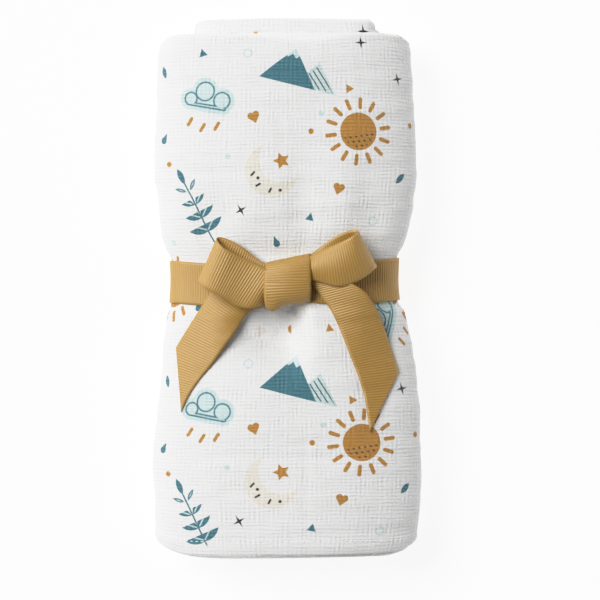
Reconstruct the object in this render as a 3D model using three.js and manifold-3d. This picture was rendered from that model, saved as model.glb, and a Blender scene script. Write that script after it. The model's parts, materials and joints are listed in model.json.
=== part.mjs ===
// A muslin crib sheet, folded in four to a long strip, rolled up flat into a soft
// oblong bundle and tied round the middle with one ribbon in a bow.
// Millimetres, +Z up. The bundle lies on its back: its length is along Y, its width
// along X, and the bow is on top. The origin is on the floor under its middle.
import * as THREE from 'three';
import { mergeVertices } from 'three/addons/utils/BufferGeometryUtils.js';
import Module from 'manifold-3d';

// The roll of cloth
const TURNS = 5;              // layers from the core out to the outer wrap
const STEPS_PER_TURN = 30;    // facets in one turn
const LAYER_SHARE = 0.82;     // share of a turn's pitch that the folded cloth fills
const WINDING_WIDTH = 33;     // width that all the turns add on each side of the core
const CORE_HEIGHT = 23;       // height of the roll's middle over the floor
const CROWN_POWER = 2.25;     // roundness of the upper side, where 2 is an ellipse
const BELLY_POWER = 2.7;      // roundness of the under side
const BELLY_PRESS = 1.3;      // how far the under side is pressed flat by its weight
const FREE_EDGE = THREE.MathUtils.degToRad(300);   // where the outer edge lies, underneath
const CORE_START = THREE.MathUtils.degToRad(60);   // where the first turn starts
const STEP_ARC = THREE.MathUtils.degToRad(70);     // arc in which a turn steps out to the next
const CORNER_POWER = { low: 8, high: 16 };        // how tight the corners of the ends are
const INNER_SLIP = 9;         // how far the inner turns stand out of the top end
const SLIP_TURNS = { from: 2.0, to: 3.2 };         // turns over which that slip fades

// Sections of the bundle from its lower end to its upper end. y: place along it.
// left, right: half-widths. crown: height over the core. lift: clearance under it.
// corner: how far the end is drawn back at the sides. slip: share of the inner slip.
const SECTIONS = [
  { y: -149.5, left: 73.0, right: 73.0, crown: 24.0, lift: 0.0, corner: 7.0, slip: 1.0 },
  { y: -143, left: 74.4, right: 75.0, crown: 25.6, lift: 0.0, corner: 4.0, slip: 0.9 },
  { y: -130, left: 75.2, right: 75.8, crown: 26.6, lift: 0.0, corner: 1.0, slip: 0.4 },
  { y: -103, left: 76.5, right: 76.8, crown: 27.2, lift: 0.0, corner: 0.0, slip: 0.0 },
  { y: -74, left: 73.8, right: 76.6, crown: 27.4, lift: 0.0, corner: 0.0, slip: 0.0 },
  { y: -48, left: 71.6, right: 73.8, crown: 26.8, lift: 0.0, corner: 0.0, slip: 0.0 },
  { y: -30, left: 70.0, right: 70.8, crown: 25.0, lift: 0.2, corner: 0.0, slip: 0.0 },
  { y: -16, left: 67.4, right: 67.2, crown: 22.9, lift: 1.4, corner: 0.0, slip: 0.0 },
  { y: -7, left: 65.4, right: 63.4, crown: 21.4, lift: 2.3, corner: 0.0, slip: 0.0 },
  { y: 5, left: 64.8, right: 62.4, crown: 21.1, lift: 2.4, corner: 0.0, slip: 0.0 },
  { y: 17, left: 65.2, right: 62.8, crown: 21.4, lift: 2.3, corner: 0.0, slip: 0.0 },
  { y: 31, left: 71.0, right: 68.2, crown: 24.6, lift: 0.8, corner: 0.0, slip: 0.0 },
  { y: 50, left: 72.8, right: 71.8, crown: 26.8, lift: 0.0, corner: 0.0, slip: 0.0 },
  { y: 70, left: 75.2, right: 73.6, crown: 27.4, lift: 0.0, corner: 0.0, slip: 0.0 },
  { y: 100, left: 74.0, right: 72.8, crown: 27.3, lift: 0.0, corner: 0.0, slip: 0.0 },
  { y: 124, left: 73.0, right: 71.6, crown: 26.6, lift: 0.0, corner: 0.4, slip: 0.4 },
  { y: 138, left: 72.2, right: 70.8, crown: 25.8, lift: 0.0, corner: 2.0, slip: 0.9 },
  { y: 143.5, left: 71.0, right: 69.6, crown: 24.6, lift: 0.0, corner: 4.0, slip: 1.0 },
];

// Soft troughs and ridges that the tie draws into the upper side.
// x, y: middle. depth: down, or up where negative. across, along: half-widths.
const FOLDS = [
  { x: 4, y: 40, depth: 2.2, across: 10, along: 20 },
  { x: 24, y: 44, depth: -1.5, across: 9, along: 20 },
  { x: -22, y: 40, depth: -1.2, across: 9, along: 16 },
  { x: -44, y: 34, depth: 1.3, across: 9, along: 14 },
  { x: 46, y: 36, depth: 1.4, across: 9, along: 16 },
  { x: -5, y: -14, depth: 2.6, across: 12, along: 8 },
  { x: 22, y: -34, depth: -1, across: 11, along: 18 },
  { x: -52, y: -28, depth: 1.2, across: 8, along: 14 },
  { x: 50, y: -62, depth: 0.9, across: 12, along: 26 },
];

// The ribbon: one length of 25 mm ribbon, tied once round the roll
const RIBBON_THICKNESS = 1.0;
const RIBBON_GAP = 0.4;                            // band to cloth
const BAND_LOW = -7;                               // the band's lower and upper edge,
const BAND_HIGH = 17;                              // beside the knot
const BAND_TILT = 0.013;                           // the band rises to the right
const BAND_SAG = 3.6;                              // its dip towards the knot
const BAND_REACH = 66;                             // how far to the side that dip reaches
const BAND_PINCH = 0.3;                            // how much narrower the knot draws it
const PINCH_REACH = 22;                            // how far to the side that shows
const WIDTH_STEPS = 4;                             // facets across the ribbon

// The knot. above: its middle over the cloth. turn: its tilt to the band, in degrees.
// softness: 1 is an egg shape and 0 a box. around, over: its facets.
const KNOT = {
  x: 0.7, y: 4.2, width: 26.4, length: 25.8, height: 14.0, above: 4.4, turn: 11, softness: 0.62,
  around: 20, over: 12,
};

// Both edges of a stretch of ribbon, row by row from the knot out, as its upper and
// lower edge in the view from above, each with its lift over the cloth. bulge: how
// far the middle of the ribbon stands over the line between its edges.
const LEFT_LOOP = [
  { ux: -1, uy: 5, up: 9.4, lx: -9, ly: -6, low: 6, bulge: 0.8 },
  { ux: -6.9, uy: 8.5, up: 9, lx: -19, ly: -10.8, low: 7.4, bulge: 1 },
  { ux: -12.6, uy: 11.8, up: 7.8, lx: -27, ly: -9.9, low: 7.4, bulge: 0.8 },
  { ux: -18.5, uy: 14.6, up: 9, lx: -32, ly: -7, low: 9.6, bulge: 0.6 },
  { ux: -24.8, uy: 17.4, up: 12.4, lx: -36.6, ly: -4.4, low: 13.2, bulge: 0.6 },
  { ux: -31, uy: 20.6, up: 14.8, lx: -41.6, ly: -1.6, low: 15.2, bulge: 0.5 },
  { ux: -35.6, uy: 23.6, up: 14.2, lx: -45.8, ly: 1, low: 14.2, bulge: 0.3 },
  { ux: -38.2, uy: 26.4, up: 11, lx: -48.6, ly: 3.4, low: 11, bulge: 0 },
  { ux: -38.6, uy: 28.4, up: 7.8, lx: -48.8, ly: 5, low: 7.8, bulge: 0 },
  { ux: -36.4, uy: 28.8, up: 5.6, lx: -46, ly: 5.6, low: 5.6, bulge: 0 },
  { ux: -31.4, uy: 27.2, up: 4.6, lx: -40.5, ly: 4, low: 4.8, bulge: 0 },
  { ux: -24, uy: 23, up: 4.4, lx: -33, ly: -0.4, low: 4.8, bulge: 0 },
  { ux: -18.6, uy: 18.6, up: 4.6, lx: -26, ly: -4, low: 5, bulge: 0.3 },
  { ux: -12.7, uy: 14.6, up: 5, lx: -17, ly: -6.5, low: 5.2, bulge: 0.6 },
  { ux: -6, uy: 11, up: 5.4, lx: -9, ly: -5, low: 5.4, bulge: 0.6 },
];

const RIGHT_LOOP = [
  { ux: 4, uy: 14, up: 6, lx: 4, ly: 6, low: 6, bulge: 2.6 },
  { ux: 9, uy: 16.6, up: 6.2, lx: 9, ly: 5.4, low: 6.2, bulge: 3 },
  { ux: 14.2, uy: 18.4, up: 6.2, lx: 14, ly: 5.2, low: 6.4, bulge: 3.4 },
  { ux: 20, uy: 21.4, up: 7.8, lx: 21.5, ly: 3, low: 8, bulge: 3.8 },
  { ux: 26.2, uy: 24.2, up: 10.6, lx: 29.5, ly: 1.2, low: 11.2, bulge: 3 },
  { ux: 32.2, uy: 26.8, up: 13, lx: 37.6, ly: 3.2, low: 13.4, bulge: 1.8 },
  { ux: 36.6, uy: 29.2, up: 13, lx: 44.4, ly: 7.2, low: 13, bulge: 0.9 },
  { ux: 39.2, uy: 31.2, up: 10.8, lx: 49.2, ly: 11, low: 11, bulge: 0.3 },
  { ux: 39.2, uy: 32.4, up: 7.8, lx: 49.8, ly: 12.8, low: 7.8, bulge: 0 },
  { ux: 36, uy: 32.6, up: 5.6, lx: 46.4, ly: 12.4, low: 5.6, bulge: 0 },
  { ux: 31, uy: 31, up: 4.6, lx: 40.4, ly: 9.8, low: 4.8, bulge: 0 },
  { ux: 24.8, uy: 27.6, up: 4.4, lx: 31.6, ly: 6.8, low: 4.8, bulge: 0.4 },
  { ux: 19.4, uy: 23.6, up: 4.4, lx: 23, ly: 5.6, low: 4.8, bulge: 1.2 },
  { ux: 13.6, uy: 19.4, up: 4.4, lx: 14, ly: 6.8, low: 4.6, bulge: 1.8 },
  { ux: 6, uy: 15, up: 5, lx: 6, ly: 7, low: 5, bulge: 1.6 },
];

const LEFT_TAIL = [
  { ux: -6, uy: 6, up: 3.4, lx: -3, ly: -5, low: 3.4, bulge: 0.6 },
  { ux: -15, uy: 9, up: 3, lx: -9, ly: -8.5, low: 3, bulge: 0.6 },
  { ux: -24.5, uy: 8.6, up: 2.6, lx: -15.6, ly: -10.8, low: 2.4, bulge: 0.4 },
  { ux: -34, uy: 5.4, up: 2.4, lx: -19.8, ly: -12.4, low: 2.2, bulge: 0.3 },
  { ux: -42.3, uy: -2, up: 2.2, lx: -23.6, ly: -16, low: 2.2, bulge: 0.4 },
  { ux: -49, uy: -12.2, up: 1.8, lx: -28.4, ly: -23.6, low: 2.2, bulge: 0.5 },
  { ux: -55.4, uy: -22.2, up: 1.4, lx: -34.6, ly: -32.2, low: 1.8, bulge: 0.3 },
  { ux: -62.2, uy: -33.2, up: 1.4, lx: -41.4, ly: -41.8, low: 1.4, bulge: 0.2 },
  { ux: -62.2, uy: -34, up: 1.4, lx: -48.4, ly: -50.4, low: 1.4, bulge: 0.1 },
  { ux: -61.8, uy: -36.4, up: 1.4, lx: -59.1, ly: -68.6, low: 1.4, bulge: 0.1 },
];

const RIGHT_TAIL = [
  { ux: 14, uy: 9.6, up: 3, lx: 7, ly: 8, low: 3.2, bulge: 0.3 },
  { ux: 20, uy: 8.8, up: 3.2, lx: 10.6, ly: 6.4, low: 3.2, bulge: 0.4 },
  { ux: 27.4, uy: 6.6, up: 3.6, lx: 14.2, ly: 3.6, low: 3.4, bulge: 0.6 },
  { ux: 35.6, uy: 3.4, up: 4.6, lx: 17.4, ly: -1, low: 3.6, bulge: 0.9 },
  { ux: 42.6, uy: -0.8, up: 4.8, lx: 21.2, ly: -6.6, low: 3.2, bulge: 1 },
  { ux: 47.8, uy: -6.6, up: 3.8, lx: 25.4, ly: -12.8, low: 2.6, bulge: 0.8 },
  { ux: 52.6, uy: -15.8, up: 2.4, lx: 29.9, ly: -22.6, low: 2, bulge: 0.5 },
  { ux: 56.4, uy: -26, up: 1.4, lx: 33.6, ly: -32, low: 1.5, bulge: 0.3 },
  { ux: 59.6, uy: -35.6, up: 1.4, lx: 36.9, ly: -40.4, low: 1.4, bulge: 0.2 },
  { ux: 62.8, uy: -45.6, up: 1.4, lx: 40.2, ly: -48.8, low: 1.4, bulge: 0.2 },
  { ux: 63.2, uy: -46.9, up: 1.4, lx: 43.4, ly: -59, low: 1.4, bulge: 0.1 },
  { ux: 63, uy: -49.4, up: 1.4, lx: 46.8, ly: -79.6, low: 1.4, bulge: 0.1 },
];

const clothMaterial = new THREE.MeshStandardMaterial({
  color: new THREE.Color().setRGB(0.95, 0.95, 0.945, THREE.SRGBColorSpace),
  roughness: 0.92,
  metalness: 0,
});
const ribbonMaterial = new THREE.MeshStandardMaterial({
  color: new THREE.Color().setRGB(0.7, 0.55, 0.36, THREE.SRGBColorSpace),
  roughness: 0.55,
  metalness: 0,
});

const lerp = THREE.MathUtils.lerp;
const smoothstep = THREE.MathUtils.smoothstep;
const signedPower = (value, power) => Math.sign(value) * Math.abs(value) ** power;

// The section at any y, on a straight line between the rows of the table.
function sectionAt(y) {
  const last = SECTIONS.length - 1;
  let row = 0;
  while (row < last - 1 && SECTIONS[row + 1].y < y) row += 1;
  const low = SECTIONS[row];
  const high = SECTIONS[row + 1];
  const share = THREE.MathUtils.clamp((y - low.y) / (high.y - low.y), 0, 1);
  const section = {};
  for (const name of Object.keys(low)) section[name] = lerp(low[name], high[name], share);
  return section;
}

function foldDepth(x, y) {
  let depth = 0;
  for (const fold of FOLDS) {
    const across = (x - fold.x) / fold.across;
    const along = (y - fold.y) / fold.along;
    depth += fold.depth * Math.exp(-across * across - along * along);
  }
  return depth;
}

// A point of the roll in the section at y. angle: round the section, from the right
// side over the top. reach: 1 on the outer outline, towards 0 at the core. A section
// that is taut has no troughs.
function rollPoint(section, angle, reach) {
  const up = Math.sin(angle);
  const power = 2 / (up > 0 ? CROWN_POWER : BELLY_POWER);
  const side = signedPower(Math.cos(angle), power);
  const rise = signedPower(up, power);
  const halfWidth = side > 0 ? section.right : section.left;
  const x = side * (halfWidth - WINDING_WIDTH * (1 - reach));
  if (up > 0) {
    const depth = foldDepth(side * halfWidth, section.y);
    const crown = section.crown - (section.taut ? Math.min(depth, 0) : depth);
    return { x, z: CORE_HEIGHT + reach * crown * rise };
  }
  const belly = (CORE_HEIGHT + BELLY_PRESS) * -rise;
  const floor = CORE_HEIGHT - section.lift;
  return { x, z: CORE_HEIGHT - reach * Math.min(belly, floor) };
}

// Height of the upper side of the bundle over the floor.
function clothTop(x, y) {
  const section = sectionAt(y);
  const halfWidth = x > 0 ? section.right : section.left;
  const side = Math.min(Math.abs(x) / halfWidth, 1);
  const rise = (1 - side ** CROWN_POWER) ** (1 / CROWN_POWER);
  return CORE_HEIGHT + (section.crown - foldDepth(x, y)) * rise;
}

// How far out a turn lies. It is level for most of a turn, and steps out to the
// next one at the lower right, over the part where the free edge lies.
function turnReach(angle) {
  const turn = Math.floor((angle - FREE_EDGE) / (2 * Math.PI)) + 1;
  const stepStart = FREE_EDGE + (turn - 1) * 2 * Math.PI;
  const step = smoothstep(angle, stepStart, stepStart + STEP_ARC);
  return (turn + step) / TURNS;
}

// A closed solid from a box of points: point(i, j, side) for i to countI and j to
// countJ, where side 0 is its inner and side 1 its outer face.
function slabGeometry(countI, countJ, point) {
  const positions = [];
  const index = [];
  const at = (i, j, side) => (i * (countJ + 1) + j) * 2 + side;
  for (let i = 0; i <= countI; i += 1) {
    for (let j = 0; j <= countJ; j += 1) {
      positions.push(...point(i, j, 0), ...point(i, j, 1));
    }
  }
  const quad = (a, b, c, d) => index.push(a, b, c, a, c, d);
  for (let i = 0; i < countI; i += 1) {
    for (let j = 0; j < countJ; j += 1) {
      quad(at(i, j, 1), at(i + 1, j, 1), at(i + 1, j + 1, 1), at(i, j + 1, 1));
      quad(at(i, j, 0), at(i, j + 1, 0), at(i + 1, j + 1, 0), at(i + 1, j, 0));
    }
    quad(at(i, 0, 0), at(i + 1, 0, 0), at(i + 1, 0, 1), at(i, 0, 1));
    quad(at(i, countJ, 1), at(i + 1, countJ, 1), at(i + 1, countJ, 0), at(i, countJ, 0));
  }
  for (let j = 0; j < countJ; j += 1) {
    quad(at(0, j, 1), at(0, j + 1, 1), at(0, j + 1, 0), at(0, j, 0));
    quad(at(countI, j, 0), at(countI, j + 1, 0), at(countI, j + 1, 1), at(countI, j, 1));
  }
  const geometry = new THREE.BufferGeometry();
  geometry.setAttribute('position', new THREE.Float32BufferAttribute(positions, 3));
  geometry.setIndex(index);
  return geometry;
}

// The sheet: one strip of folded cloth, wound from the core to the outer wrap.
function sheetGeometry() {
  const end = FREE_EDGE + (TURNS - 1) * 2 * Math.PI;
  const steps = Math.round(((end - CORE_START) / (2 * Math.PI)) * STEPS_PER_TURN);
  const thickness = LAYER_SHARE / TURNS;
  const last = SECTIONS.length - 1;
  return slabGeometry(steps, last, (i, j, side) => {
    const angle = lerp(CORE_START, end, i / steps);
    const section = SECTIONS[last - j];
    const reach = turnReach(angle) - (side === 1 ? 0 : thickness);
    const { x, z } = rollPoint(section, angle, reach);
    const turns = turnReach(angle) * TURNS;
    const slip = INNER_SLIP * (1 - smoothstep(turns, SLIP_TURNS.from, SLIP_TURNS.to));
    const sideShare = Math.min(Math.abs(x) / section.left, 1);
    const power = section.y > 0 ? CORNER_POWER.high : CORNER_POWER.low;
    const corner = Math.sign(section.y) * section.corner * sideShare ** power;
    return [x, section.y + slip * section.slip - corner, z];
  });
}

// A closed strip of ribbon through the rows of a table.
function stripGeometry(rows) {
  const middle = rows.map((row) => {
    const line = [];
    for (let j = 0; j <= WIDTH_STEPS; j += 1) {
      const share = j / WIDTH_STEPS;
      const x = lerp(row.ux, row.lx, share);
      const y = lerp(row.uy, row.ly, share);
      const arch = row.bulge * Math.sin(Math.PI * share);
      line.push(new THREE.Vector3(x, y, clothTop(x, y) + lerp(row.up, row.low, share) + arch));
    }
    return line;
  });
  const normalAt = (i, j) => {
    const before = middle[Math.max(i - 1, 0)][j];
    const after = middle[Math.min(i + 1, rows.length - 1)][j];
    const left = middle[i][Math.max(j - 1, 0)];
    const right = middle[i][Math.min(j + 1, WIDTH_STEPS)];
    const along = after.clone().sub(before);
    return along.cross(right.clone().sub(left)).normalize();
  };
  return slabGeometry(rows.length - 1, WIDTH_STEPS, (i, j, side) => {
    const offset = (side - 0.5) * RIBBON_THICKNESS;
    return middle[i][j].clone().addScaledVector(normalAt(i, j), offset).toArray();
  });
}

// A point of the roll's outline at y, moved out from the cloth. It is that of a taut
// band, which lies over the ridges and spans the troughs.
function outlinePoint(y, angle, out) {
  const section = sectionAt(y);
  const wider = {
    ...section,
    y,
    taut: true,
    left: section.left + out,
    right: section.right + out,
    crown: section.crown + out,
    lift: section.lift - out,
  };
  return rollPoint(wider, angle, 1);
}

// The band goes all the way round the roll, a little off the cloth.
function bandPoint(i, j, out) {
  const angle = (i / STEPS_PER_TURN) * 2 * Math.PI;
  const flatY = lerp(BAND_LOW, BAND_HIGH, j / WIDTH_STEPS);
  const level = outlinePoint(flatY, angle, out);
  const onTop = smoothstep(level.z, CORE_HEIGHT - 4, CORE_HEIGHT + 14);
  const sag = BAND_SAG * (1 - (level.x / BAND_REACH) ** 2) * onTop;
  const pinch = BAND_PINCH * Math.exp(-((level.x / PINCH_REACH) ** 2)) * onTop;
  const fromMiddle = flatY - (BAND_LOW + BAND_HIGH) / 2;
  const y = flatY + BAND_TILT * level.x - sag - pinch * fromMiddle;
  const { x, z } = outlinePoint(y, angle, out);
  return [x, y, z];
}

function bandGeometry() {
  const positions = [];
  const index = [];
  const rings = [];
  for (let j = 0; j <= WIDTH_STEPS; j += 1) rings.push([j, RIBBON_GAP + RIBBON_THICKNESS]);
  for (let j = WIDTH_STEPS; j >= 0; j -= 1) rings.push([j, RIBBON_GAP]);
  for (let i = 0; i < STEPS_PER_TURN; i += 1) {
    for (const [j, out] of rings) positions.push(...bandPoint(i, j, out));
  }
  for (let i = 0; i < STEPS_PER_TURN; i += 1) {
    const next = ((i + 1) % STEPS_PER_TURN) * rings.length;
    const here = i * rings.length;
    for (let k = 0; k < rings.length; k += 1) {
      const other = (k + 1) % rings.length;
      index.push(here + k, next + other, next + k, here + k, here + other, next + other);
    }
  }
  const geometry = new THREE.BufferGeometry();
  geometry.setAttribute('position', new THREE.Float32BufferAttribute(positions, 3));
  geometry.setIndex(index);
  return geometry;
}

// The knot: the ribbon drawn once over the band, a lump with rounded sides.
function knotGeometry() {
  const geometry = new THREE.SphereGeometry(1, KNOT.around, KNOT.over);
  const place = geometry.attributes.position;
  const turn = THREE.MathUtils.degToRad(KNOT.turn);
  const middle = clothTop(KNOT.x, KNOT.y) + KNOT.above;
  for (let k = 0; k < place.count; k += 1) {
    const x = signedPower(place.getX(k), KNOT.softness) * (KNOT.width / 2);
    const y = signedPower(place.getZ(k), KNOT.softness) * (KNOT.length / 2);
    const z = signedPower(place.getY(k), KNOT.softness) * (KNOT.height / 2);
    place.setXYZ(
      k,
      KNOT.x + x * Math.cos(turn) - y * Math.sin(turn),
      KNOT.y + x * Math.sin(turn) + y * Math.cos(turn),
      middle + Math.max(z, -KNOT.above + RIBBON_GAP),
    );
  }
  // The lump's two upright axes were swapped, so its faces are turned round.
  const faces = geometry.index;
  for (let k = 0; k < faces.count; k += 3) {
    const second = faces.getX(k + 1);
    faces.setX(k + 1, faces.getX(k + 2));
    faces.setX(k + 2, second);
  }
  return geometry;
}

const wasm = await Module();
wasm.setup();

function toSolid(geometry) {
  const bare = new THREE.BufferGeometry();
  bare.setAttribute('position', geometry.attributes.position);
  bare.setIndex(geometry.index);
  const merged = mergeVertices(bare, 1e-4);
  return new wasm.Manifold(new wasm.Mesh({
    numProp: 3,
    vertProperties: new Float32Array(merged.attributes.position.array),
    triVerts: new Uint32Array(merged.index.array),
  }));
}

function toGeometry(solid) {
  const mesh = solid.getMesh();
  const geometry = new THREE.BufferGeometry();
  geometry.setAttribute('position', new THREE.BufferAttribute(mesh.vertProperties, 3));
  geometry.setIndex(new THREE.BufferAttribute(mesh.triVerts, 1));
  return geometry;
}

// The ribbon: band, knot, loops and tails are one piece of ribbon, so one solid.
function ribbonGeometry() {
  const lengths = [LEFT_LOOP, RIGHT_LOOP, LEFT_TAIL, RIGHT_TAIL].map(stripGeometry);
  let solid = toSolid(bandGeometry()).add(toSolid(knotGeometry()));
  for (const length of lengths) solid = solid.add(toSolid(length));
  return toGeometry(solid);
}

function namedMesh(name, geometry, material) {
  const mesh = new THREE.Mesh(geometry, material);
  mesh.name = name;
  return mesh;
}

const group = new THREE.Group();
group.add(namedMesh('folded_sheet', sheetGeometry(), clothMaterial));
group.add(namedMesh('ribbon', ribbonGeometry(), ribbonMaterial));

export default group;
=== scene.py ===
"""Folded crib sheet: a printed muslin sheet, folded in four, rolled up flat and tied with a ribbon bow.

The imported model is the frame. The sheet and the ribbon stand for its two solids, and the
hem stitches lie on the sheet. Lengths in the tables are millimetres, in the frame's axes.
"""

import json
import math

import bmesh
import bpy
import numpy as np
from bpy.props import FloatProperty, FloatVectorProperty, IntProperty, PointerProperty
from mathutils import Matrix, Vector
from mathutils.bvhtree import BVHTree

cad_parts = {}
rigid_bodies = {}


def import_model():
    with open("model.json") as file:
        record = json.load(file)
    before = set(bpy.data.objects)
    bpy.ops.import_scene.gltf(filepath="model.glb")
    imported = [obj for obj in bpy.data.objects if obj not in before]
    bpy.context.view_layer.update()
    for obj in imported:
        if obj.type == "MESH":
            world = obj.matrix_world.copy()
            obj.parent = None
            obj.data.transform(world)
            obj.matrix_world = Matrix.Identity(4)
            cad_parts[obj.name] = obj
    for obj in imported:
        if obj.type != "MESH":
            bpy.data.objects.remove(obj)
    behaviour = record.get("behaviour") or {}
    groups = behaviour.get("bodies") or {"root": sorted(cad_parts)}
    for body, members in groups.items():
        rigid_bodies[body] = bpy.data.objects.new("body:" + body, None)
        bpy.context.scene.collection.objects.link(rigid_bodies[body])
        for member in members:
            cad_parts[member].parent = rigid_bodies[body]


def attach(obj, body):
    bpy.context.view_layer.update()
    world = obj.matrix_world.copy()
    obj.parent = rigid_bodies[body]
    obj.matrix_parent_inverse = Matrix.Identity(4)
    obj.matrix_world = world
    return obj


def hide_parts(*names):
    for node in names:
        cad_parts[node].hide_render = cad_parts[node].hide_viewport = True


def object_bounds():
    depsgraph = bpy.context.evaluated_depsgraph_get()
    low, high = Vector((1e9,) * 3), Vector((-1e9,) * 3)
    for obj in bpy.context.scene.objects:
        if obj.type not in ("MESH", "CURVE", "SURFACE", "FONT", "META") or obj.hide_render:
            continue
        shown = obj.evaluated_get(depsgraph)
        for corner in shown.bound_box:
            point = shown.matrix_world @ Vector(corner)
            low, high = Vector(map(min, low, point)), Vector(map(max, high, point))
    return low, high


bl_info = {
    "name": "Folded crib sheet",
    "version": (1, 0, 0),
    "blender": (4, 5, 0),
    "location": "View3D > Sidebar > Crib sheet",
    "description": "A printed muslin sheet, rolled up flat and tied with a ribbon bow",
    "category": "Object",
}

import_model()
cad_low, cad_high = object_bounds()

MM = 0.001

# The roll
TURNS = 5
LAYER_SHARE = 0.82                       # share of a turn's pitch that the cloth fills
WINDING_WIDTH = 33.0                     # what the turns add on each side of the core
CORE_HEIGHT = 23.0
CROWN_POWER = 2.25
BELLY_POWER = 2.7
BELLY_PRESS = 1.3
FREE_EDGE = math.radians(300)            # where the outer edge lies, underneath
CORE_START = math.radians(60)
STEP_ARC = math.radians(70)
WRAP_LAP = math.radians(12)              # how far the finely made wrap reaches under its own edge
CREST_BACK = math.radians(210)           # from the outer edge back to the top of the bundle
FULL_TURN = 2 * math.pi
CORNER_POWER = (8, 16)                   # at the lower and the upper end
INNER_SLIP = 9.0                         # how far the inner turns stand out of the top end
SLIP_TURNS = (2.0, 3.2)
TOP_DIP = 3.4                            # how far the outer wrap's top edge sags in its middle
TOP_DIP_AT = 8.0
TOP_DIP_REACH = 22.0
END_STARTS = 60.0                        # from here to its ends the bundle grows uneven
END_RUN = 90.0
PLIES = 4                                # the sheet is folded in four
PLY_SHARE = 0.86                         # share of a ply's pitch that the ply fills
STRIP_DEPTH = 4.4                        # thickness of the folded strip
FOLD_INSET = 2.0                         # how far the folds lie inside the upper end
INNER_FOLD_INSET = 2.8
HEM_MARGIN = (4.5, 6.5)                  # where the print fades out at the hem
HEM_WIDTH = (7.4, 8.4)
HEM_HEIGHT = 0.28

# Sections of the bundle: y, half-widths left and right, crown over the core, lift under
# it, how far the corners of the ends are drawn back, and the share of the inner slip.
SECTION_COLUMNS = ("y", "left", "right", "crown", "lift", "corner", "slip")
SECTIONS = np.array([
    (-149.5, 73.0, 73.0, 24.0, 0.0, 7.0, 1.0),
    (-143.0, 74.4, 75.0, 25.6, 0.0, 4.0, 0.9),
    (-130.0, 75.2, 75.8, 26.6, 0.0, 1.0, 0.4),
    (-103.0, 76.5, 76.8, 27.2, 0.0, 0.0, 0.0),
    (-74.0, 73.8, 76.6, 27.4, 0.0, 0.0, 0.0),
    (-48.0, 71.6, 73.8, 26.8, 0.0, 0.0, 0.0),
    (-30.0, 70.0, 70.8, 25.0, 0.2, 0.0, 0.0),
    (-16.0, 67.4, 67.2, 22.9, 1.4, 0.0, 0.0),
    (-7.0, 65.4, 63.4, 21.4, 2.3, 0.0, 0.0),
    (5.0, 64.8, 62.4, 21.1, 2.4, 0.0, 0.0),
    (17.0, 65.2, 62.8, 21.4, 2.3, 0.0, 0.0),
    (31.0, 71.0, 68.2, 24.6, 0.8, 0.0, 0.0),
    (50.0, 72.8, 71.8, 26.8, 0.0, 0.0, 0.0),
    (70.0, 75.2, 73.6, 27.4, 0.0, 0.0, 0.0),
    (100.0, 74.0, 72.8, 27.3, 0.0, 0.0, 0.0),
    (124.0, 73.0, 71.6, 26.6, 0.0, 0.4, 0.4),
    (138.0, 72.2, 70.8, 25.8, 0.0, 2.0, 0.9),
    (143.5, 71.0, 69.6, 24.6, 0.0, 4.0, 1.0),
])

# Creases of the gauze: height, spread round the roll and along it, and a seed.
CREASES = (
    (0.32, 11.0, 15.0, 3),
    (0.16, 10.0, 3.0, 5),
    (0.085, 5.0, 1.3, 8),
    (0.05, 1.3, 5.0, 13),
)
PLEATS = (0.42, 3.6, 14.0, 21)           # the same for the pleats beside the ribbon
PLEAT_REACH = 9.0
SWELL = (0.5, 5.0, 4.0)                  # height, place and spread of the swelling beside it

# Soft troughs, and ridges where the depth is negative: x, y, depth, and how far each
# reaches to the left, to the right, down and up.
FOLDS = (
    (9, 40, 2.2, 11, 9, 20, 30),
    (33, 46, -1.9, 10, 10, 20, 34),
    (-22, 40, -1.2, 9, 9, 16, 16),
    (-44, 34, 1.3, 9, 9, 14, 14),
    (48, 36, 1.4, 9, 9, 16, 16),
    (6, -13, 4.5, 13, 4, 8, 9),
    (1, -24, 14.5, 26, 8.5, 18, 15),
    (13, -14, -1.6, 5, 9, 12, 8),
    (22, -34, -1.0, 11, 11, 18, 18),
    (-52, -28, 1.2, 8, 8, 14, 14),
    (50, -62, 0.9, 12, 12, 26, 26),
    (18, -94, 0.4, 60, 44, 2.0, 2.0),
    (11, -108, 0.35, 1.9, 2.1, 34, 40),
)

# The hem's seam: its first and last angle back from the outer edge, the points on it,
# how far off the cloth may lie, and the lift of the thread in its own thicknesses.
SEAM_FROM = math.radians(300)
SEAM_TO = math.radians(8)
SEAM_STEPS = 420
SEAM_SEARCH = 0.003
SEAM_LIFT = 0.15

# The band of ribbon round the middle
BAND_LOW = -7.0
BAND_HIGH = 17.0
BAND_MIDDLE = (BAND_LOW + BAND_HIGH) / 2
BAND_TILT = 0.013
BAND_SAG = 3.6
BAND_REACH = 66.0
BAND_GAP = 0.45
BAND_PINCH = 0.3
BAND_PINCH_AT = 1.0
BAND_PINCH_REACH = 22.0
BAND_LEAN = 0.08
BAND_LEAN_AT = -40.0
BAND_LEAN_REACH = 14.0
BAND_RIPPLE = 0.5

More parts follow.
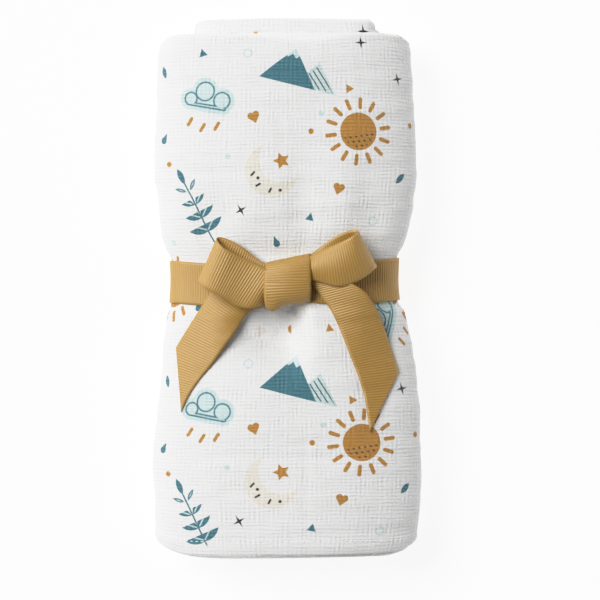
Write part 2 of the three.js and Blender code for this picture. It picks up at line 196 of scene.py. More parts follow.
# Lengths of ribbon, row by row from the knot out. Each row is the upper edge and the
# lower edge as seen from above, each with its lift over the cloth, and then how far
# the middle of the ribbon stands over the line between them.
UPPER_EDGE, LOWER_EDGE, ARCH = slice(0, 3), slice(3, 6), slice(6, 7)
LEFT_LOOP = (
    (-1.0, 5.0, 9.4, -9.0, -6.0, 6.0, 0.8),
    (-6.9, 8.5, 9.6, -19.0, -10.8, 8.4, 1.4),
    (-12.6, 11.8, 9.2, -27.0, -9.9, 8.2, 1.2),
    (-18.5, 14.6, 9.4, -32.0, -7.0, 9.6, 0.8),
    (-24.8, 17.4, 10.8, -36.6, -4.4, 11.6, 0.6),
    (-31.0, 20.6, 12.8, -41.6, -1.6, 13.4, 0.5),
    (-35.6, 23.6, 13.0, -45.8, 1.0, 13.2, 0.3),
    (-38.2, 26.4, 11.0, -48.6, 3.4, 11.0, 0.0),
    (-38.6, 28.4, 7.8, -48.8, 5.0, 7.8, 0.0),
    (-36.4, 28.8, 5.6, -46.0, 5.6, 5.6, 0.0),
    (-31.4, 27.2, 4.6, -40.5, 4.0, 4.8, 0.0),
    (-24.0, 23.0, 4.4, -33.0, -0.4, 4.8, 0.0),
    (-18.6, 18.6, 4.6, -26.0, -4.0, 5.0, 0.3),
    (-12.7, 14.6, 5.0, -17.0, -6.5, 5.2, 0.6),
    (-6.0, 11.0, 5.4, -9.0, -5.0, 5.4, 0.6),
)
RIGHT_LOOP = (
    (4.0, 14.0, 6.4, 4.0, 6.0, 6.4, 1.0),
    (9.0, 16.6, 6.8, 9.0, 5.4, 7.0, 1.7),
    (14.2, 18.4, 7.7, 14.0, 5.2, 7.8, 2.4),
    (20.0, 21.4, 9.2, 21.5, 3.0, 8.6, 3.2),
    (26.2, 24.2, 11.0, 29.5, 1.2, 10.2, 3.2),
    (32.2, 26.8, 12.8, 37.6, 3.2, 12.0, 2.5),
    (36.6, 29.2, 14.4, 44.4, 7.2, 13.6, 1.4),
    (39.2, 31.2, 12.6, 49.2, 11.0, 13.2, 0.3),
    (39.6, 32.4, 8.6, 50.2, 12.8, 9.0, 0.0),
    (36.0, 32.6, 5.6, 46.4, 12.4, 5.6, 0.0),
    (31.0, 31.0, 4.6, 40.4, 9.8, 4.8, 0.0),
    (24.8, 27.6, 4.4, 31.6, 6.8, 4.8, 0.4),
    (19.4, 23.6, 4.4, 23.0, 5.6, 4.8, 1.2),
    (13.6, 19.4, 4.4, 14.0, 6.8, 4.6, 1.8),
    (6.0, 15.0, 5.0, 6.0, 7.0, 5.0, 1.6),
)
LEFT_TAIL = (
    (-6.0, 6.0, 3.4, -3.0, -5.0, 3.4, 0.6),
    (-15.0, 9.0, 3.0, -9.0, -8.5, 3.0, 0.6),
    (-24.5, 8.6, 2.6, -15.6, -10.8, 2.4, 0.4),
    (-34.0, 5.4, 2.4, -19.8, -12.4, 2.6, 0.3),
    (-42.3, -2.0, 2.2, -23.6, -16.0, 3.2, 0.4),
    (-49.0, -12.2, 1.8, -28.4, -23.6, 4.8, 0.5),
    (-55.4, -22.2, 1.2, -34.6, -32.2, 3.8, 0.3),
    (-62.2, -33.2, 0.9, -41.4, -41.8, 1.6, 0.2),
    (-68.4, -44.4, 0.8, -48.4, -50.4, 0.9, 0.1),
    (-73.6, -55.0, 0.8, -54.4, -59.2, 0.9, 0.1),
    (-77.6, -66.0, 0.8, -59.2, -69.4, 0.9, 0.1),
    (-79.6, -76.0, 0.8, -62.4, -79.0, 0.9, 0.1),
)
LEFT_CUT = ((-62.2, -33.3), (-59.1, -69.2))
RIGHT_TAIL = (
    (14.0, 9.6, 3.2, 6.0, 8.6, 3.4, 0.1),
    (20.0, 8.8, 5.2, 9.6, 7.0, 4.2, 0.1),
    (27.4, 6.6, 8.8, 13.2, 4.2, 4.8, 0.1),
    (35.6, 3.4, 11.8, 17.2, -0.8, 4.6, 0.2),
    (42.6, -0.8, 12.8, 21.2, -6.6, 4.4, 0.3),
    (47.8, -6.6, 11.4, 25.4, -12.8, 3.8, 0.4),
    (52.6, -15.8, 6.2, 29.9, -22.6, 2.4, 0.5),
    (56.4, -26.0, 3.0, 33.6, -32.0, 1.8, 0.5),
    (59.6, -35.6, 1.0, 36.9, -40.4, 1.2, 0.2),
    (62.8, -45.6, 0.8, 40.2, -48.8, 1.0, 0.2),
    (65.8, -57.0, 0.8, 43.4, -59.0, 0.9, 0.1),
    (68.2, -70.0, 0.8, 45.4, -70.4, 0.9, 0.1),
    (70.0, -83.0, 0.8, 46.8, -82.0, 0.9, 0.1),
    (71.0, -95.0, 0.8, 47.6, -92.0, 0.9, 0.1),
)
RIGHT_CUT = ((46.6, -80.2), (63.2, -46.7))
CUT_AWAY = 14.0                          # what a cut takes off a tail's middle line

# The knot: the ribbon drawn once round the band. Left and right edge as x, the middle
# in y and half the length in y; then its crown over the cloth and how far it is drawn
# in at the sides.
KNOT_LEFT = (-12.6, 2.0, 12.6)
KNOT_RIGHT = (13.8, 6.5, 13.2)
KNOT_CROWN = 11.4
KNOT_FOOT = 2.2
KNOT_ARC = (math.radians(-38), math.radians(218))
KNOT_POWER = 0.8
KNOT_BULGE = 1.1
KNOT_CROWN_DROP = 0.07                   # how much lower its sides are than its middle
KNOT_PINCH = (1.3, 0.52)                 # how far the left and the right side draw in
KNOT_TUCK = 2.4                          # how far its foot bulges out near the left edge
KNOT_TUCK_AT = 0.17
KNOT_TUCK_REACH = 0.13
KNOT_SKEW = math.radians(12)             # how far the ribs run ahead on the right side

# The camera's frame, as the photo has it
PHOTO_PIXELS = 600
PIXEL = 0.565                            # millimetres of the object under one pixel
BUNDLE_AT = (286.5, 289.0)               # the pixel over the bundle's middle
FOCUS_HEIGHT = 30.0

FLOOR_REACH = 6.0
FLOOR_LEVEL = -0.0004
KEY_PLACE = (-1.9, 1.2, 2.62)
KEY_WIDTH = 2.5

# How the photo holds back its brightest parts: scene brightness and what is shown of it
TONE_WHITE = 2.0
TONE_CURVE = (
    (0.30, 0.300),
    (0.55, 0.550),
    (0.80, 0.765),
    (1.00, 0.860),
    (1.25, 0.920),
    (1.60, 0.970),
)


def smooth_curve(places, values, at):
    """Values between the rows of a table, on a smooth curve that never overshoots."""
    step = np.diff(places)
    slope = np.diff(values) / step
    tangent = np.zeros(len(values))
    before, after = slope[:-1], slope[1:]
    same = before * after > 0
    total = np.where(same, before + after, 1.0)
    tangent[1:-1] = np.where(same, 2 * before * after / total, 0.0)
    tangent[0], tangent[-1] = slope[0], slope[-1]
    at = np.clip(at, places[0], places[-1])
    row = np.clip(np.searchsorted(places, at) - 1, 0, len(step) - 1)
    h = step[row]
    t = (at - places[row]) / h
    low, high = values[row], values[row + 1]
    curve = (2 * t**3 - 3 * t**2 + 1) * low + (3 * t**2 - 2 * t**3) * high
    lean = (t**3 - 2 * t**2 + t) * tangent[row] + (t**3 - t**2) * tangent[row + 1]
    return curve + lean * h


def section(name, y):
    """One column of the section table at any y."""
    return smooth_curve(SECTIONS[:, 0], SECTIONS[:, SECTION_COLUMNS.index(name)], y)


def smoothstep(value, low, high):
    """0 up to low, 1 from high on, and a smooth step between them."""
    t = np.clip((value - low) / (high - low), 0.0, 1.0)
    return t * t * (3 - 2 * t)


def signed_power(value, power):
    """A power of a value's size, with the value's sign."""
    return np.sign(value) * np.abs(value) ** power


def fold_depth(x, y):
    """Depth of the soft troughs in the upper side at a point."""
    depth = np.zeros(np.broadcast(x, y).shape)
    for fold_x, fold_y, deep, left, right, down, up in FOLDS:
        across = (x - fold_x) / np.where(x < fold_x, left, right)
        along = (y - fold_y) / np.where(y < fold_y, down, up)
        depth += deep * np.exp(-(across**2) - along**2)
    return depth


def roll_point(y, angle, reach, out=0.0, taut=False):
    """x and z of the roll. angle: round the section, from the right side over the top.
    reach: 1 on the outer outline, towards 0 at the core. out: offset off the outline.
    taut: over the ridges, and straight over the troughs."""
    y, angle, reach = np.broadcast_arrays(y, angle, reach)
    up = np.sin(angle)
    power = np.where(up > 0, 2 / CROWN_POWER, 2 / BELLY_POWER)
    side = signed_power(np.cos(angle), power)
    rise = signed_power(up, power)
    half_width = np.where(side > 0, section("right", y), section("left", y)) + out
    x = side * (half_width - WINDING_WIDTH * (1 - reach))
    depth = fold_depth(side * half_width, y)
    crown = section("crown", y) + out - (np.minimum(depth, 0) if taut else depth)
    belly = (CORE_HEIGHT + BELLY_PRESS + out) * -rise
    belly = np.minimum(belly, CORE_HEIGHT + out - section("lift", y))
    z = CORE_HEIGHT + reach * np.where(up > 0, crown * rise, -belly)
    return x, z


def cloth_top(x, y):
    """Height of the upper side of the bundle."""
    half_width = np.where(x > 0, section("right", y), section("left", y))
    side = np.minimum(np.abs(x) / half_width, 1.0)
    rise = (1 - side**CROWN_POWER) ** (1 / CROWN_POWER)
    return CORE_HEIGHT + (section("crown", y) - fold_depth(x, y)) * rise


def turn_reach(angle):
    """How far out a turn lies: level for most of a turn, with a step where the edge lies."""
    turn = np.floor((angle - FREE_EDGE) / FULL_TURN + 1e-9) + 1
    start = FREE_EDGE + (turn - 1) * FULL_TURN
    return (turn + smoothstep(angle, start, start + STEP_ARC)) / TURNS


def even_angles(first, last, count):
    """Angles from first to last whose points are evenly spaced round the roll."""
    fine = np.linspace(first, last, 4000)
    x, z = roll_point(SECTIONS[3, 0], fine, turn_reach(fine))
    length = np.concatenate(([0.0], np.cumsum(np.hypot(np.diff(x), np.diff(z)))))
    return np.interp(np.linspace(0, length[-1], count + 1), length, fine)


def crumple(shape, across, along, seed):
    """A smooth random relief on a grid, with a spread of one. across, along: in cells."""
    noise = np.random.default_rng(seed).standard_normal(shape)
    frequency_0 = np.fft.fftfreq(shape[0])[:, None]
    frequency_1 = np.fft.fftfreq(shape[1])[None, :]
    soft = np.exp(-2 * math.pi**2 * ((frequency_0 * across) ** 2 + (frequency_1 * along) ** 2))
    relief = np.real(np.fft.ifft2(np.fft.fft2(noise) * soft))
    return (relief - relief.mean()) / relief.std()


def new_piece(name, vertices, faces, uvs, reverse=None):
    """A mesh object at the origin. uvs holds one place on the flat cloth for each vertex."""
    mesh = bpy.data.meshes.new(name)
    mesh.from_pydata([tuple(v) for v in np.asarray(vertices) * MM], [], faces)
    corner = np.zeros(len(mesh.loops), np.int32)
    mesh.loops.foreach_get("vertex_index", corner)
    layer = mesh.uv_layers.new(name="flat_cloth")
    layer.data.foreach_set("uv", (np.asarray(uvs) * MM)[corner].astype(np.float32).ravel())
    if reverse is not None:
        side = mesh.attributes.new("reverse", "FLOAT", "POINT")
        side.data.foreach_set("value", np.asarray(reverse, np.float32))
    mesh.shade_smooth()
    mesh.validate()
    piece = bpy.data.objects.new(name, mesh)
    bpy.context.scene.collection.objects.link(piece)
    return piece


def clear_old(collection, name):
    """Takes away what an earlier run made under the same name."""
    old = collection.get(name)
    if old is not None:
        collection.remove(old)


# The folded and rolled sheet


def fold_path():
    """The cloth's way through the folded strip, seen from its end: place along the
    bundle and depth in the layer of the printed and the plain side, point by point."""
    low, high = SECTIONS[0, 0], SECTIONS[-1, 0]
    bends = 4
    face, back = [], []

    def ply(number, places, printed_out):
        """One layer of the strip, counted from the outside."""
        outer, inner = number / PLIES, (number + PLY_SHARE) / PLIES
        for y in places:
            face.append((y, outer if printed_out else inner))
            back.append((y, inner if printed_out else outer))

    def bend(y, face_from, face_to, face_reach, back_from, back_to, back_reach):
        """A fold between two layers, for both sides of the cloth."""
        for k in range(1, bends):
            turn = math.pi * k / bends
            for line, start, end, reach in (
                (face, face_from, face_to, face_reach),
                (back, back_from, back_to, back_reach),
            ):
                depth = (start + end) / 2 - (end - start) / 2 * math.cos(turn)
                line.append((y + reach * math.sin(turn), depth))

    share = PLY_SHARE / PLIES
    up = SECTIONS[:, 0].copy()
    up[-1] = high - FOLD_INSET
    up = np.insert(up, 1, (low + 1.5, low + 4))
    ply(0, up, True)
    first_ply = len(face)
    bend(high - FOLD_INSET, 0.0, 0.75 + share, 2.0, share, 0.75, 1.1)
    ply(3, up[::-1], False)
    bend(low, 0.75 + share, 0.5, -0.9, 0.75, 0.5 + share, -0.2)
    inner_high = high - INNER_FOLD_INSET
    up_inner = np.minimum(up, inner_high)
    ply(2, up_inner, True)
    bend(inner_high, 0.5, 0.25 + share, 0.2, 0.5 + share, 0.25, 0.9)
    ply(1, up_inner[::-1], False)
    return np.array(face), np.array(back), first_ply


def rolled(y, depth, angle):
    """Points of the roll for places y along the bundle and depths in the layer."""
    reach = turn_reach(angle)
    x, z = roll_point(y, angle, reach - depth * LAYER_SHARE / TURNS)
    slip = INNER_SLIP * (1 - smoothstep(reach * TURNS, *SLIP_TURNS))
    ends = np.clip((np.abs(y) - END_STARTS) / END_RUN, 0, 1) ** 2
    wander = 0.7 * np.sin(1.7 * angle + 5 * depth) + 0.5 * np.sin(3.1 * angle + 2)
    side = np.minimum(np.abs(x) / section("left", y), 1.0)
    corner = np.sign(y) * section("corner", y) * side ** np.where(y < 0, *CORNER_POWER)
    dip = TOP_DIP * np.exp(-((x - TOP_DIP_AT) / TOP_DIP_REACH) ** 2) * smoothstep(y, 95, 143)
    slip = slip - dip * smoothstep(reach, 0.82, 0.98) * (np.abs(x) < 60)
    uneven = ends * wander * np.where(depth > 0.1, 1.0, 0.6)
    along = y + slip * section("slip", y) - corner + uneven
    return np.stack(np.broadcast_arrays(x, along, z), axis=-1)


def relief(grid, x, y, settings):
    """Height of the creases over the outer wrap: soft lumps, the crinkle of the
    gauze, pleats that the ribbon gathers, and the hem. Flat under the ribbon."""
    cells = grid.shape[:2]
    cell = settings.fine_cell / MM

    def creases(height, across, along, seed):
        return height * crumple(cells, across / cell, along / cell, seed)

    free_creases = settings.crinkle * sum(creases(*row) for row in CREASES)
    edges = [band_place(x, grid[..., 2], edge)[0] for edge in (BAND_LOW, BAND_HIGH)]
    off_band = np.maximum(edges[0] - y, y - edges[1])
    pleats = np.exp(-np.maximum(off_band, 0) / PLEAT_REACH) * creases(*PLEATS)
    free = smoothstep(off_band, -0.5, 7)
    hem = HEM_HEIGHT * (1 - smoothstep(y - SECTIONS[0, 0], *HEM_WIDTH)) * settings.hem_relief
    swell_height, swell_at, swell_reach = SWELL
    swell = swell_height * np.exp(-((off_band - swell_at) / swell_reach) ** 2)
    settled = 1 - 0.8 * smoothstep(-grid[..., 2], -6, -1)
    return (free * (free_creases + pleats + swell) + hem) * settled


def sheet_mesh(settings):
    """The whole sheet as one closed cloth. The outer wrap's upper face has a finer
    grid of its own, joined to the coarse one by many-sided faces."""
    face, back, first_ply = fold_path()
    end = FREE_EDGE + (TURNS - 1) * FULL_TURN
    wrap = end - FULL_TURN - STEP_ARC - WRAP_LAP
    inner = even_angles(CORE_START, wrap, settings.inner_steps)
    outer = even_angles(wrap, end, settings.wrap_steps)
    angles = np.concatenate((inner, outer[1:]))
    start = len(inner) - 1
    face_points = rolled(face[None, :, 0], face[None, :, 1], angles[:, None])
    back_points = rolled(back[None, :, 0], back[None, :, 1], angles[:, None])

    # The finer grid across the first ply holds every coarse place too.
    fine_y, index_of = [face[0, 0]], [0]
    for low, high in zip(face[: first_ply - 1, 0], face[1:first_ply, 0]):
        parts = max(1, round((high - low) * MM / settings.fine_cell))
        fine_y.extend(np.linspace(low, high, parts + 1)[1:])
        index_of.append(len(fine_y) - 1)
    fine_y = np.array(fine_y)
    grid = rolled(fine_y[None, :], np.zeros((1, len(fine_y))), outer[:, None])
    around = np.gradient(grid, axis=0)
    along = np.gradient(grid, axis=1)
    normal = np.cross(along, around)
    normal /= np.linalg.norm(normal, axis=-1, keepdims=True)
    heights = relief(grid, grid[..., 0], fine_y[None, :] + 0 * grid[..., 0], settings)
    heights *= smoothstep(np.arange(len(outer)), 0, 6)[:, None]
    heights *= 1 - smoothstep(fine_y, SECTIONS[-1, 0] - 4, SECTIONS[-1, 0] - 2)[None, :]
    grid = grid + normal * heights[..., None]
    grid[..., 2] = np.maximum(grid[..., 2], 0.0)

    # Place on the flat cloth: along the strip, and across it through the folds.
    x, z = roll_point(SECTIONS[3, 0], angles, turn_reach(angles) - LAYER_SHARE / TURNS / 2)
    strip = np.concatenate(([0.0], np.cumsum(np.hypot(np.diff(x), np.diff(z)))))
    strip = np.interp(end - CREST_BACK, angles, strip) - strip
    middle = (face + back) / 2 * np.array([1.0, STRIP_DEPTH])
    width = np.concatenate(([0.0], np.cumsum(np.linalg.norm(np.diff(middle, axis=0), axis=1))))
    width += face[0, 0]

    points, uvs, reverse = [], [], []

    def add(rows, us, vs, plain):
        """Adds a grid of points and returns their numbers."""
        first = len(points)
        points.extend(rows.reshape(-1, 3))
        uvs.extend(np.stack(np.broadcast_arrays(us[:, None], vs[None, :]), -1).reshape(-1, 2))
        reverse.extend(np.broadcast_to(plain, (len(us), len(vs))).reshape(-1).tolist())
        return first + np.arange(len(us) * len(vs)).reshape(len(us), len(vs))

    # The print is faint on the inner fold that peeps out under the hem.
    inner_fold = (face[:, 0] < SECTIONS[0, 0] + HEM_MARGIN[0]) & (face[:, 1] > 0.3)
    face_id = add(face_points, strip, width, inner_fold.astype(float))
    back_id = add(back_points, strip, width, 1.0)
    fine_id = add(grid, strip[start:], fine_y, 0.0)
    face_id[start:, :first_ply] = fine_id[:, index_of]

    faces = []
    rings = len(angles)

    def quads(a, b):
        """The faces between two neighbouring lines that run along the strip."""
        faces.extend(np.stack((a[:-1], b[:-1], b[1:], a[1:]), axis=1).tolist())

    last = face_id.shape[1] - 1
    for p in range(last):
        on_fine = p < first_ply - 1
        stop = start if on_fine else rings
        quads(face_id[:stop, p], face_id[:stop, p + 1])
        quads(back_id[:, p + 1], back_id[:, p])
        if on_fine:
            low, high = index_of[p], index_of[p + 1]
            faces.append([face_id[start - 1, p], face_id[start - 1, p + 1]]
                         + fine_id[0, low : high + 1][::-1].tolist())
            faces.append(fine_id[-1, low : high + 1].tolist()
                         + [back_id[-1, p + 1], back_id[-1, p]])
        else:
            faces.append([face_id[-1, p], face_id[-1, p + 1],
                          back_id[-1, p + 1], back_id[-1, p]])
        faces.append([face_id[0, p + 1], face_id[0, p], back_id[0, p], back_id[0, p + 1]])
    for f in range(fine_id.shape[1] - 1):
        quads(fine_id[:, f], fine_id[:, f + 1])
    quads(back_id[:, 0], face_id[:, 0])
    quads(face_id[:, last], back_id[:, last])

    used = np.unique(np.concatenate([np.asarray(f) for f in faces]))
    place = np.full(len(points), -1)
    place[used] = np.arange(len(used))
    faces = [[int(place[v]) for v in f] for f in faces]
    points, uvs, reverse = ([values[v] for v in used] for values in (points, uvs, reverse))
    flat = (abs(strip[-1] - strip[0]) * MM, (width[-1] - width[0]) * MM)
    return points, faces, uvs, reverse, flat


# The ribbon


def spline_rows(table, spacing):
    """Rows of a table on one smooth curve, evenly spaced along the ribbon."""
    rows = np.array(table, float)
    rows = np.vstack((2 * rows[0] - rows[1], rows, 2 * rows[-1] - rows[-2]))
    fine = []
    for a, b, c, d in zip(rows, rows[1:], rows[2:], rows[3:]):
        for t in np.linspace(0, 1, 24, endpoint=False):
            fine.append(0.5 * (2 * b + (c - a) * t + (2 * a - 5 * b + 4 * c - d) * t**2
                               + (3 * b - a - 3 * c + d) * t**3))
    fine = np.array(fine)
    middle = (fine[:, UPPER_EDGE] + fine[:, LOWER_EDGE]) / 2
    length = np.concatenate(([0.0], np.cumsum(np.linalg.norm(np.diff(middle, axis=0), axis=1))))
    places = np.arange(0, length[-1], spacing)
    return np.stack([np.interp(places, length, column) for column in fine.T], axis=1)


def ribbon_surface(table, settings, ground=None):
    """The middle surface of a length of ribbon, row by row and point by point across."""
    rows = spline_rows(table, settings.rib_pitch / MM / settings.cuts_per_rib)
    share = np.linspace(0, 1, settings.across + 1)[None, :]
    upper, lower, arch = rows[:, UPPER_EDGE], rows[:, LOWER_EDGE], rows[:, ARCH]
    x, y, lift = (upper[:, [k]] * (1 - share) + lower[:, [k]] * share for k in range(3))
    if ground is None:
        base = (cloth_top(upper[:, [0]], upper[:, [1]]) * (1 - share)
                + cloth_top(lower[:, [0]], lower[:, [1]]) * share)
    else:
        base = np.vectorize(ground)(x, y)
    return np.stack((x, y, base + lift + arch * np.sin(np.pi * share)), axis=-1)


def strip_solid(surface, settings, first_length=0.0, closed=False):
    """A closed strip of ribbon with its ribs, from its middle surface."""
    if closed:
        along = np.roll(surface, -1, axis=0) - np.roll(surface, 1, axis=0)
    else:
        along = np.gradient(surface, axis=0)
    across = np.gradient(surface, axis=1)
    normal = np.cross(along, across)
    normal /= np.linalg.norm(normal, axis=-1, keepdims=True)
    middle = surface[:, surface.shape[1] // 2]
    step = np.linalg.norm(np.diff(middle, axis=0), axis=1)
    length = first_length + np.concatenate(([0.0], np.cumsum(step)))
    width = settings.width / MM
    edge = np.linspace(0, width, surface.shape[1])
    selvage = settings.selvage / MM
    inside = np.minimum(edge, width - edge)
    ribbed = smoothstep(inside, selvage * 0.6, selvage)[None, :]
    wave = np.cos(FULL_TURN * length / (settings.rib_pitch / MM))[:, None]
    bead = np.exp(-((inside - selvage * 0.35) / (selvage * 0.3)) ** 2)[None, :]
    half = settings.thickness / MM / 2
    rib = half + settings.rib_depth / MM * (ribbed * wave + 0.8 * bead)
    top = surface + normal * rib[..., None]
    bottom = surface - normal * rib[..., None]
    count, wide = surface.shape[:2]
    top_id = np.arange(count * wide).reshape(count, wide)
    bottom_id = top_id + count * wide
    uv = np.stack(np.broadcast_arrays(edge[None, :], length[:, None]), -1).reshape(-1, 2)
    if closed:
        rounds = np.arange(count + 1) % count
        top_id, bottom_id = top_id[rounds], bottom_id[rounds]
    faces = []

    def quads(a, b):
        """The faces between two neighbouring lines that run along the ribbon."""
        faces.extend(np.stack((a[:-1], a[1:], b[1:], b[:-1]), axis=1).tolist())

    for j in range(wide - 1):
        quads(top_id[:, j], top_id[:, j + 1])
        quads(bottom_id[:, j + 1], bottom_id[:, j])
    quads(bottom_id[:, 0], top_id[:, 0])
    quads(top_id[:, -1], bottom_id[:, -1])
    if not closed:
        for row, turned in ((0, False), (-1, True)):
            line = np.stack((top_id[row, :-1], top_id[row, 1:],
                             bottom_id[row, 1:], bottom_id[row, :-1]), axis=1)
            faces.extend((line[:, ::-1] if turned else line).tolist())
    return np.concatenate((top.reshape(-1, 3), bottom.reshape(-1, 3))), faces, np.vstack((uv, uv))


def band_place(x, z, y):
    """Where a point y of the flat band lies when the knot draws on it."""
    on_top = smoothstep(z, CORE_HEIGHT - 4, CORE_HEIGHT + 14)
    near_knot = np.exp(-(((x - BAND_PINCH_AT) / BAND_PINCH_REACH) ** 2)) * on_top
    sag = BAND_SAG * (1 - (x / BAND_REACH) ** 2) * on_top
    return y + BAND_TILT * x - sag - (y - BAND_MIDDLE) * BAND_PINCH * near_knot, near_knot


def band_surface(settings):
    """The band round the roll: rows round it, points across it."""
    fine = np.linspace(0, FULL_TURN, 2000)
    x, z = roll_point(BAND_MIDDLE, fine, 1.0)
    length = np.concatenate(([0.0], np.cumsum(np.hypot(np.diff(x), np.diff(z)))))
    pitch = settings.rib_pitch / MM
    count = round(length[-1] / pitch) * settings.cuts_per_rib
    angle = np.interp(np.arange(count) / count * length[-1], length, fine)[:, None]
    share = np.linspace(0, 1, settings.across + 1)[None, :]
    y = BAND_LOW + (BAND_HIGH - BAND_LOW) * share
    out = BAND_GAP + settings.thickness / MM / 2 + settings.rib_depth / MM
    x, z = roll_point(y, angle, 1.0, out, taut=True)
    y, near_knot = band_place(x, z, y)
    x, z = roll_point(y, angle, 1.0, out, taut=True)
    lean = BAND_LEAN * np.exp(-(((x - BAND_LEAN_AT) / BAND_LEAN_REACH) ** 2)) * (z > CORE_HEIGHT)
    lean = lean * (BAND_MIDDLE - y)
    ripple = BAND_RIPPLE * near_knot * np.sin(3 * math.pi * share) ** 2
    return np.stack(np.broadcast_arrays(x + lean, y, z + ripple), axis=-1)


def knot_surface(settings):
    """The ribbon over the knot: rows across the bundle, from its top edge to its foot."""
    rise = KNOT_CROWN - KNOT_FOOT
    arc = np.linspace(*KNOT_ARC, 900)
    middle_y = (KNOT_LEFT[1] + KNOT_RIGHT[1]) / 2
    half = (KNOT_LEFT[2] + KNOT_RIGHT[2]) / 2
    line_y = middle_y + half * signed_power(np.cos(arc), KNOT_POWER)
    line_z = rise * signed_power(np.sin(arc), KNOT_POWER)
    length = np.concatenate(([0.0], np.cumsum(np.hypot(np.diff(line_y), np.diff(line_z)))))
    places = np.arange(0, length[-1], settings.rib_pitch / MM / settings.cuts_per_rib)
    share = np.linspace(0, 1, settings.across + 1)[None, :]
    turn = np.interp(places, length, arc)[:, None] + KNOT_SKEW * (share - 0.5)
    row_y = signed_power(np.cos(turn), KNOT_POWER)
    row_z = signed_power(np.sin(turn), KNOT_POWER)
    left_x = KNOT_LEFT[0] + KNOT_PINCH[0] * np.abs(row_y) ** 3
    right_x = KNOT_RIGHT[0] - KNOT_PINCH[1] * np.abs(row_y) ** 3
    left_y = KNOT_LEFT[1] + KNOT_LEFT[2] * row_y
    right_y = KNOT_RIGHT[1] + KNOT_RIGHT[2] * row_y
    tuck = np.exp(-(((share - KNOT_TUCK_AT) / KNOT_TUCK_REACH) ** 2))
    tuck = KNOT_TUCK * tuck * smoothstep(-row_y, 0.5, 0.95)
    x = left_x * (1 - share) + right_x * share
    y = left_y * (1 - share) + right_y * share - tuck
    base = cloth_top(np.zeros(1), np.full(1, middle_y))[0] + KNOT_FOOT
    crest = np.sin(np.pi * share)
    z = base + rise * row_z * (1 - KNOT_CROWN_DROP * (1 - crest))
    z = z + KNOT_BULGE * crest * np.maximum(row_z, 0)
    return np.stack(np.broadcast_arrays(x, y, z), axis=-1)


def cut_end(vertices, faces, uvs, line):
    """Cuts a tail off along a line seen from above, and closes the cut."""
    mesh = bpy.data.meshes.new("cut")
    mesh.from_pydata([tuple(v) for v in vertices], [], faces)
    shape = bmesh.new()
    shape.from_mesh(mesh)
    layer = shape.verts.layers.float_vector.new("flat")
    for vertex, uv in zip(shape.verts, uvs):
        vertex[layer] = (uv[0], uv[1], 0)
    (x0, y0), (x1, y1) = line
    away = Vector((y1 - y0, x0 - x1, 0)).normalized()
    if away.dot(Vector(vertices[0]) - Vector((x0, y0, 0))) > 0:
        away = -away
    everything = shape.verts[:] + shape.edges[:] + shape.faces[:]
    cut = bmesh.ops.bisect_plane(shape, geom=everything, plane_co=(x0, y0, 0), plane_no=away,
                                 clear_outer=True, dist=1e-5)
    edges = [e for e in cut["geom_cut"] if isinstance(e, bmesh.types.BMEdge)]
    bmesh.ops.triangle_fill(shape, edges=edges, use_beauty=True)
    bmesh.ops.recalc_face_normals(shape, faces=shape.faces)
    shape.verts.index_update()
    points = [tuple(v.co) for v in shape.verts]
    flat = [(v[layer][0], v[layer][1]) for v in shape.verts]
    polygons = [[v.index for v in f.verts] for f in shape.faces]
    shape.free()
    bpy.data.meshes.remove(mesh)
    return points, polygons, flat


def outward(vertices, faces):
    """The faces, turned round if they point inwards."""
    points = np.asarray(vertices, float)
    volume = 0.0
    for face in faces:
        a = points[face[0]]
        for b, c in zip(face[1:-1], face[2:]):
            volume += np.dot(a, np.cross(points[b], points[c]))
    return faces if volume > 0 else [face[::-1] for face in faces]


def ribbon_mesh(settings, ground):
    """Band, knot, loops and tails of the one ribbon, and its whole length."""
    lengths = (
        (band_surface(settings), True, None),
        (knot_surface(settings), False, None),
        (ribbon_surface(LEFT_LOOP, settings), False, None),
        (ribbon_surface(RIGHT_LOOP, settings), False, None),
        (ribbon_surface(LEFT_TAIL, settings, ground), False, LEFT_CUT),
        (ribbon_surface(RIGHT_TAIL, settings, ground), False, RIGHT_CUT),
    )
    points, faces, uvs, total = [], [], [], 0.0
    for surface, closed, line in lengths:
        vertices, polygons, flat = strip_solid(surface, settings, total, closed)
        middle = surface[:, surface.shape[1] // 2]
        total += np.linalg.norm(np.diff(middle, axis=0), axis=1).sum()
        if line is not None:
            vertices, polygons, flat = cut_end(vertices, polygons, flat, line)
            total -= CUT_AWAY
        polygons = outward(vertices, polygons)
        first = len(points)
        points.extend(map(tuple, vertices))
        uvs.extend(map(tuple, flat))
        faces.extend([v + first for v in face] for face in polygons)
    return points, faces, uvs, total * MM


# Materials


